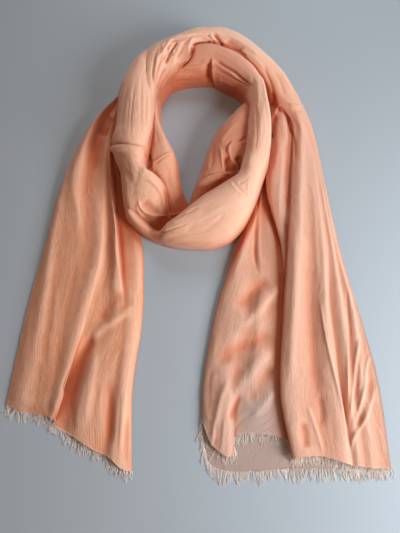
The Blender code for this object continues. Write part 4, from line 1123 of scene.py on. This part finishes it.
def fringe_piece(fringe, grids, look):
    """Frayed threads along the hems of grids, in loose tufts, each a thin tapering tube."""
    rng = np.random.default_rng(fringe.seed)
    tubes = Tubes()
    pitch = look.fringe_pitch / MM
    length = look.fringe_length / MM
    for grid in grids:
        hem = grid[-1]
        above = grid[-ROWS_ABOVE]
        starts = running(spacings(hem))
        gaps = np.maximum(np.diff(starts), LEAST)
        tuft_end = 0.0
        for wanted in np.arange(HEM_MARGIN, starts[-1] - HEM_MARGIN, pitch):
            if wanted >= tuft_end:
                tuft_start = wanted
                tuft_end = wanted + rng.uniform(*TUFT_WIDTHS)
                tuft_turn = rng.normal(0, TUFT_SLANT)
                tuft_length = rng.uniform(*TUFT_LENGTHS)
                gather = rng.uniform(*TUFT_GATHERS)
            j = min(int(np.searchsorted(starts, wanted)) - 1, len(gaps) - 1)
            share = (wanted - starts[j]) / gaps[j]
            root = hem[j] * (1 - share) + hem[j + 1] * share
            drift = root - (above[j] * (1 - share) + above[j + 1] * share)
            slant = CLOTH_SLANT * math.atan2(drift[0], -drift[1])
            heading = slant + tuft_turn + rng.normal(0, THREAD_SLANT)
            way = np.array([math.sin(heading), -math.cos(heading)])
            along = (hem[j + 1] - hem[j])[:2] / gaps[j]
            pull = (0.5 * (tuft_start + tuft_end) - wanted) * gather
            tip = root[:2] + way * length * tuft_length * rng.uniform(*THREAD_LENGTHS) + along * pull
            root = root - (way[0] * ROOT_BACK, way[1] * ROOT_BACK, -ROOT_LIFT)
            places, radii = thread(rng, root, heading, tip)
            tubes.add_tube(places, radii, rng.random())
    for stray in fringe.strays:
        places = round_curve(stray, STRAY_STEPS)
        tubes.add_tube(places, [THREAD_RADIUS * STRAY_RADIUS] * len(places), STRAY_SHADE)
    item = add_mesh(fringe.name, tubes.points, tubes.faces, {"shade": tubes.shades})
    fit_piece(item, thread_material(look), [fringe.node])
    return item


# Materials


def feed(tree, socket, value):
    """Sets a socket's value, or links another node's output to it."""
    if isinstance(value, bpy.types.NodeSocket):
        tree.links.new(value, socket)
    else:
        socket.default_value = value


def add_node(tree, kind, **inputs):
    """A shader node; its inputs are named with _ for a space."""
    node = tree.nodes.new("ShaderNode" + kind)
    for name, value in inputs.items():
        feed(tree, node.inputs[name.replace("_", " ")], value)
    return node


def math_node(tree, operation, *values, clamp=False):
    node = tree.nodes.new("ShaderNodeMath")
    node.operation = operation
    node.use_clamp = clamp
    for socket, value in zip(node.inputs, values):
        feed(tree, socket, value)
    return node.outputs[0]


def noise(tree, place, detail, roughness):
    node = add_node(tree, "TexNoise", Vector=place, Scale=1.0, Detail=detail, Roughness=roughness)
    return node.outputs["Fac"]


def weave_group():
    """Voile: warp and weft, uneven threads and small crinkles, from places on the cloth."""
    group = bpy.data.node_groups.new("voile_weave", "ShaderNodeTree")
    for name, value in (("Thread pitch", THREAD_PITCH), ("Slub length", SLUB_LENGTH)):
        socket = group.interface.new_socket(name=name, in_out="INPUT", socket_type="NodeSocketFloat")
        socket.default_value = value
    for name in ("Height", "Streaks", "Mottle"):
        group.interface.new_socket(name=name, in_out="OUTPUT", socket_type="NodeSocketFloat")
    source = group.nodes.new("NodeGroupInput")
    result = group.nodes.new("NodeGroupOutput")
    cloth_map = add_node(group, "UVMap")
    cloth_map.uv_map = "cloth"
    place = cloth_map.outputs["UV"]

    def grain(scale, detail, roughness):
        mapping = add_node(group, "Mapping", Vector=place, Scale=scale)
        return noise(group, mapping.outputs["Vector"], detail, roughness)

    apart = add_node(group, "SeparateXYZ", Vector=place)
    turns = math_node(group, "DIVIDE", 2 * math.pi, source.outputs["Thread pitch"])
    warp, weft = (
        math_node(group, "SINE", math_node(group, "MULTIPLY", apart.outputs[axis], turns))
        for axis in ("X", "Y")
    )
    weave = math_node(group, "MULTIPLY", warp, weft)
    slubs_along = math_node(group, "DIVIDE", 1.0, source.outputs["Slub length"])
    slub_place = add_node(
        group, "CombineXYZ",
        X=math_node(group, "MULTIPLY", apart.outputs["X"], SLUBS_ACROSS),
        Y=math_node(group, "MULTIPLY", apart.outputs["Y"], slubs_along),
    )
    slub = noise(group, slub_place.outputs["Vector"], *SLUB_NOISE)
    height = math_node(group, "MULTIPLY", weave, WEAVE_PART)
    for part, share in (
        (slub, SLUB_PART), (grain(*CROSS_GRAIN), CROSS_PART), (grain(*CRINKLE_GRAIN), CRINKLE_PART)
    ):
        height = math_node(group, "ADD", height, math_node(group, "MULTIPLY", part, share))
    feed(group, result.inputs["Height"], height)
    feed(group, result.inputs["Streaks"], slub)
    feed(group, result.inputs["Mottle"], grain(*MOTTLE_GRAIN))
    return group


def colour_mix(tree, factor, first, second, amount=1.0):
    """A node that mixes two colours by a mask."""
    mix = tree.nodes.new("ShaderNodeMix")
    mix.data_type = "RGBA"
    feed(tree, mix.inputs["Factor"], math_node(tree, "MULTIPLY", factor, amount, clamp=True))
    for index, value in zip(MIX_COLOURS, (first, second)):
        feed(tree, mix.inputs[index], value)
    return mix.outputs[MIX_RESULT]


def mark_value(tree, name):
    node = add_node(tree, "Attribute")
    node.attribute_name = name
    return node.outputs["Fac"]


def spread_out(tree, value, span):
    """A value from 0 at the start of a span to 1 at its end."""
    node = add_node(tree, "MapRange", Value=value, From_Min=span[0], From_Max=span[1])
    return node.outputs["Result"]


def new_surface(name, surface):
    """A new material, its nodes and its shader."""
    material = bpy.data.materials.new(name)
    material.use_nodes = True
    tree = material.node_tree
    shader = tree.nodes["Principled BSDF"]
    for key, value in surface.items():
        shader.inputs[key].default_value = value
    return material, tree, shader


def rgba(colour):
    return (*colour, 1)


def cloth_material(look):
    """Peach voile: paler where it is thin, with painted shade deep in its folds and a painted highlight
    on its crests, streaked by its threads.
    """
    name = "peach_voile"
    if name in bpy.data.materials:
        return bpy.data.materials[name]
    material, tree, shader = new_surface(name, CLOTH_SURFACE)
    threads = tree.nodes.new("ShaderNodeGroup")
    threads.node_tree = weave_group()
    trough = mark_value(tree, "trough")
    deepest_shade = math_node(tree, "POWER", trough, DEEPEST_SHADE_POWER)
    base = rgba(look.deep_colour)
    for mask, colour, part in (
        (spread_out(tree, threads.outputs["Streaks"], STREAKS_SPAN), look.cloth_colour, 1.0),
        (spread_out(tree, threads.outputs["Mottle"], MOTTLE_SPAN), look.pale_colour, PALE_PART),
        # Paler where many layers lie, with a painted highlight on crests
        (mark_value(tree, "layers"), look.layers_and_highlight_colour, LAYERS_AND_HIGHLIGHT_PART),
        # Painted shade in folds and closed-off places, darkest at the bottom of the deepest
        (trough, look.fold_shade_colour, FOLD_SHADE_PART),
        (deepest_shade, look.deepest_shade_colour, DEEPEST_SHADE_PART),
        (mark_value(tree, "thin"), look.thin_colour, 1.0),
    ):
        base = colour_mix(tree, mask, base, rgba(colour), part)
    height = threads.outputs["Height"]
    bump = add_node(tree, "Bump", Strength=BUMP_STRENGTH, Distance=BUMP_DISTANCE, Height=height)
    feed(tree, shader.inputs["Base Color"], base)
    feed(tree, shader.inputs["Normal"], bump.outputs["Normal"])
    return material


def thread_material(look):
    name = "frayed_thread"
    if name in bpy.data.materials:
        return bpy.data.materials[name]
    material, tree, shader = new_surface(name, THREAD_SURFACE)
    thread_colour, cloth_colour = rgba(look.thread_colour), rgba(look.cloth_colour)
    colour = colour_mix(tree, mark_value(tree, "shade"), thread_colour, cloth_colour, THREAD_PART)
    feed(tree, shader.inputs["Base Color"], colour)
    return material


def floor_material(look):
    material, _, shader = new_surface("floor_sheet", FLOOR_SURFACE)
    shader.inputs["Base Color"].default_value = rgba(look.floor_colour)
    return material


def colour_choice(name, description, default):
    return bpy.props.FloatVectorProperty(
        name=name, description=description, subtype="COLOR", default=default
    )


def length_choice(name, description, default):
    return bpy.props.FloatProperty(
        name=name, description=description, subtype="DISTANCE", default=default
    )


class ScarfLook(bpy.types.PropertyGroup):
    """Colours and sizes that a user may change."""

    cloth_colour: colour_choice("Cloth", "Main colour of the voile", (0.80, 0.335, 0.18))
    deep_colour: colour_choice("Slubs", "Colour of the heavier threads", (0.76, 0.285, 0.14))
    pale_colour: colour_choice("Pale patches", "Colour where the weave is open", (0.85, 0.47, 0.31))
    # Paler colour of many layers, also used as a painted highlight on crests
    layers_and_highlight_colour: colour_choice(
        "Many layers", "Colour where the cloth lies in many layers", (1.0, 0.53, 0.35)
    )
    # Painted shade colour for folds and closed-off places
    fold_shade_colour: colour_choice("Folds", "Colour deep in the folds", (0.66, 0.150, 0.052))
    # Painted shade colour at the bottom of the deepest folds
    deepest_shade_colour: colour_choice(
        "Deepest folds", "Colour at the bottom of the deepest folds", (0.50, 0.105, 0.035)
    )
    thin_colour: colour_choice(
        "One layer", "Colour where one layer lies on the sheet", (0.44, 0.32, 0.265)
    )
    thread_colour: colour_choice("Fringe", "Colour of the frayed threads", (1.0, 0.88, 0.77))
    floor_colour: colour_choice("Floor", "Colour of the sheet it lies on", (0.40, 0.41, 0.42))
    fringe_length: length_choice("Fringe length", "Length of the frayed threads", 0.0108)
    fringe_pitch: length_choice("Fringe pitch", "Distance between frayed threads", 0.00055)


class ScarfRing(bpy.types.Operator):
    """Builds the stretches of the ring"""

    bl_idname = "scarf.ring"
    bl_label = "Ring"

    def execute(self, context):
        material = cloth_material(context.scene.scarf_look)
        tree = cloth_tree()
        for stretch in STRETCHES:
            item = band_piece(stretch, tree, material)
        return {"FINISHED"}


class ScarfTails(bpy.types.Operator):
    """Builds the two tails, and the back band that runs into the right one"""

    bl_idname = "scarf.tails"
    bl_label = "Tails"

    def execute(self, context):
        look = context.scene.scarf_look
        material = cloth_material(look)
        tree = cloth_tree()
        left_tail, under_tail, over_tail = TAILS
        left, left_grid = tail_piece(left_tail, tree, material)
        threads_left = fringe_piece(LEFT_FRINGE, [left_grid], look)
        under, under_grid = tail_piece(under_tail, tree, material)
        over, over_grid = tail_piece(over_tail, tree, material)
        threads_right = fringe_piece(RIGHT_FRINGE, [under_grid, over_grid], look)
        return {"FINISHED"}


class ScarfStage(bpy.types.Operator):
    """Builds the floor, the light and the camera"""

    bl_idname = "scarf.stage"
    bl_label = "Floor, light and camera"

    def execute(self, context):
        scene = context.scene
        mesh = bpy.data.meshes.new("floor")
        corners = [(x * FLOOR_HALF, y * FLOOR_HALF, 0) for x, y in ((-1, -1), (1, -1), (1, 1), (-1, 1))]
        mesh.from_pydata(corners, [], [(0, 1, 2, 3)])
        mesh.materials.append(floor_material(scene.scarf_look))
        floor = add_item("floor", mesh)
        for lamp in LAMPS:
            light = bpy.data.lights.new(lamp.name, "AREA")
            light.shape = "SQUARE"
            light.size = lamp.size
            light.energy = lamp.power
            light.color = lamp.colour
            item = add_item(lamp.name, light)
            item.location = lamp.place
            item.rotation_euler = (-Vector(lamp.place)).to_track_quat("-Z", "Y").to_euler()
        world = bpy.data.worlds.new("room_light")
        world.use_nodes = True
        room = world.node_tree.nodes["Background"]
        room.inputs["Color"].default_value = ROOM_COLOUR
        room.inputs["Strength"].default_value = ROOM_STRENGTH
        scene.world = world
        scene.view_settings.view_transform = "Standard"
        view = bpy.data.cameras.new("viewing_point")
        view.sensor_width = SENSOR_WIDTH
        view.lens = EYE_LENS
        view.clip_start = NEAR_LIMIT
        camera = add_item("viewing_point", view)
        camera.location = ((EYE[0] - MIDDLE[0]) * MM, (EYE[1] - MIDDLE[1]) * MM, EYE[2] * MM)
        camera.rotation_euler = (math.radians(EYE_TILT), 0, 0)
        scene.camera = camera
        return {"FINISHED"}


class ScarfPanel(bpy.types.Panel):
    """Lists the steps and the looks"""

    bl_idname = "VIEW3D_PT_scarf"
    bl_label = "Viscose scarf"
    bl_space_type = "VIEW_3D"
    bl_region_type = "UI"
    bl_category = "Scarf"

    def draw(self, context):
        for name in ScarfLook.__annotations__:
            self.layout.prop(context.scene.scarf_look, name)
        for step in STEPS:
            self.layout.operator(step.bl_idname)


STEPS = (ScarfRing, ScarfTails, ScarfStage)
CLASSES = (ScarfLook, *STEPS, ScarfPanel)


def register():
    for item in CLASSES:
        bpy.utils.register_class(item)
    bpy.types.Scene.scarf_look = bpy.props.PointerProperty(type=ScarfLook)


def unregister():
    del bpy.types.Scene.scarf_look
    for item in reversed(CLASSES):
        bpy.utils.unregister_class(item)


def main():
    register()
    bpy.ops.scarf.ring()
    bpy.ops.scarf.tails()
    bpy.ops.scarf.stage()


if __name__ == "__main__":
    main()
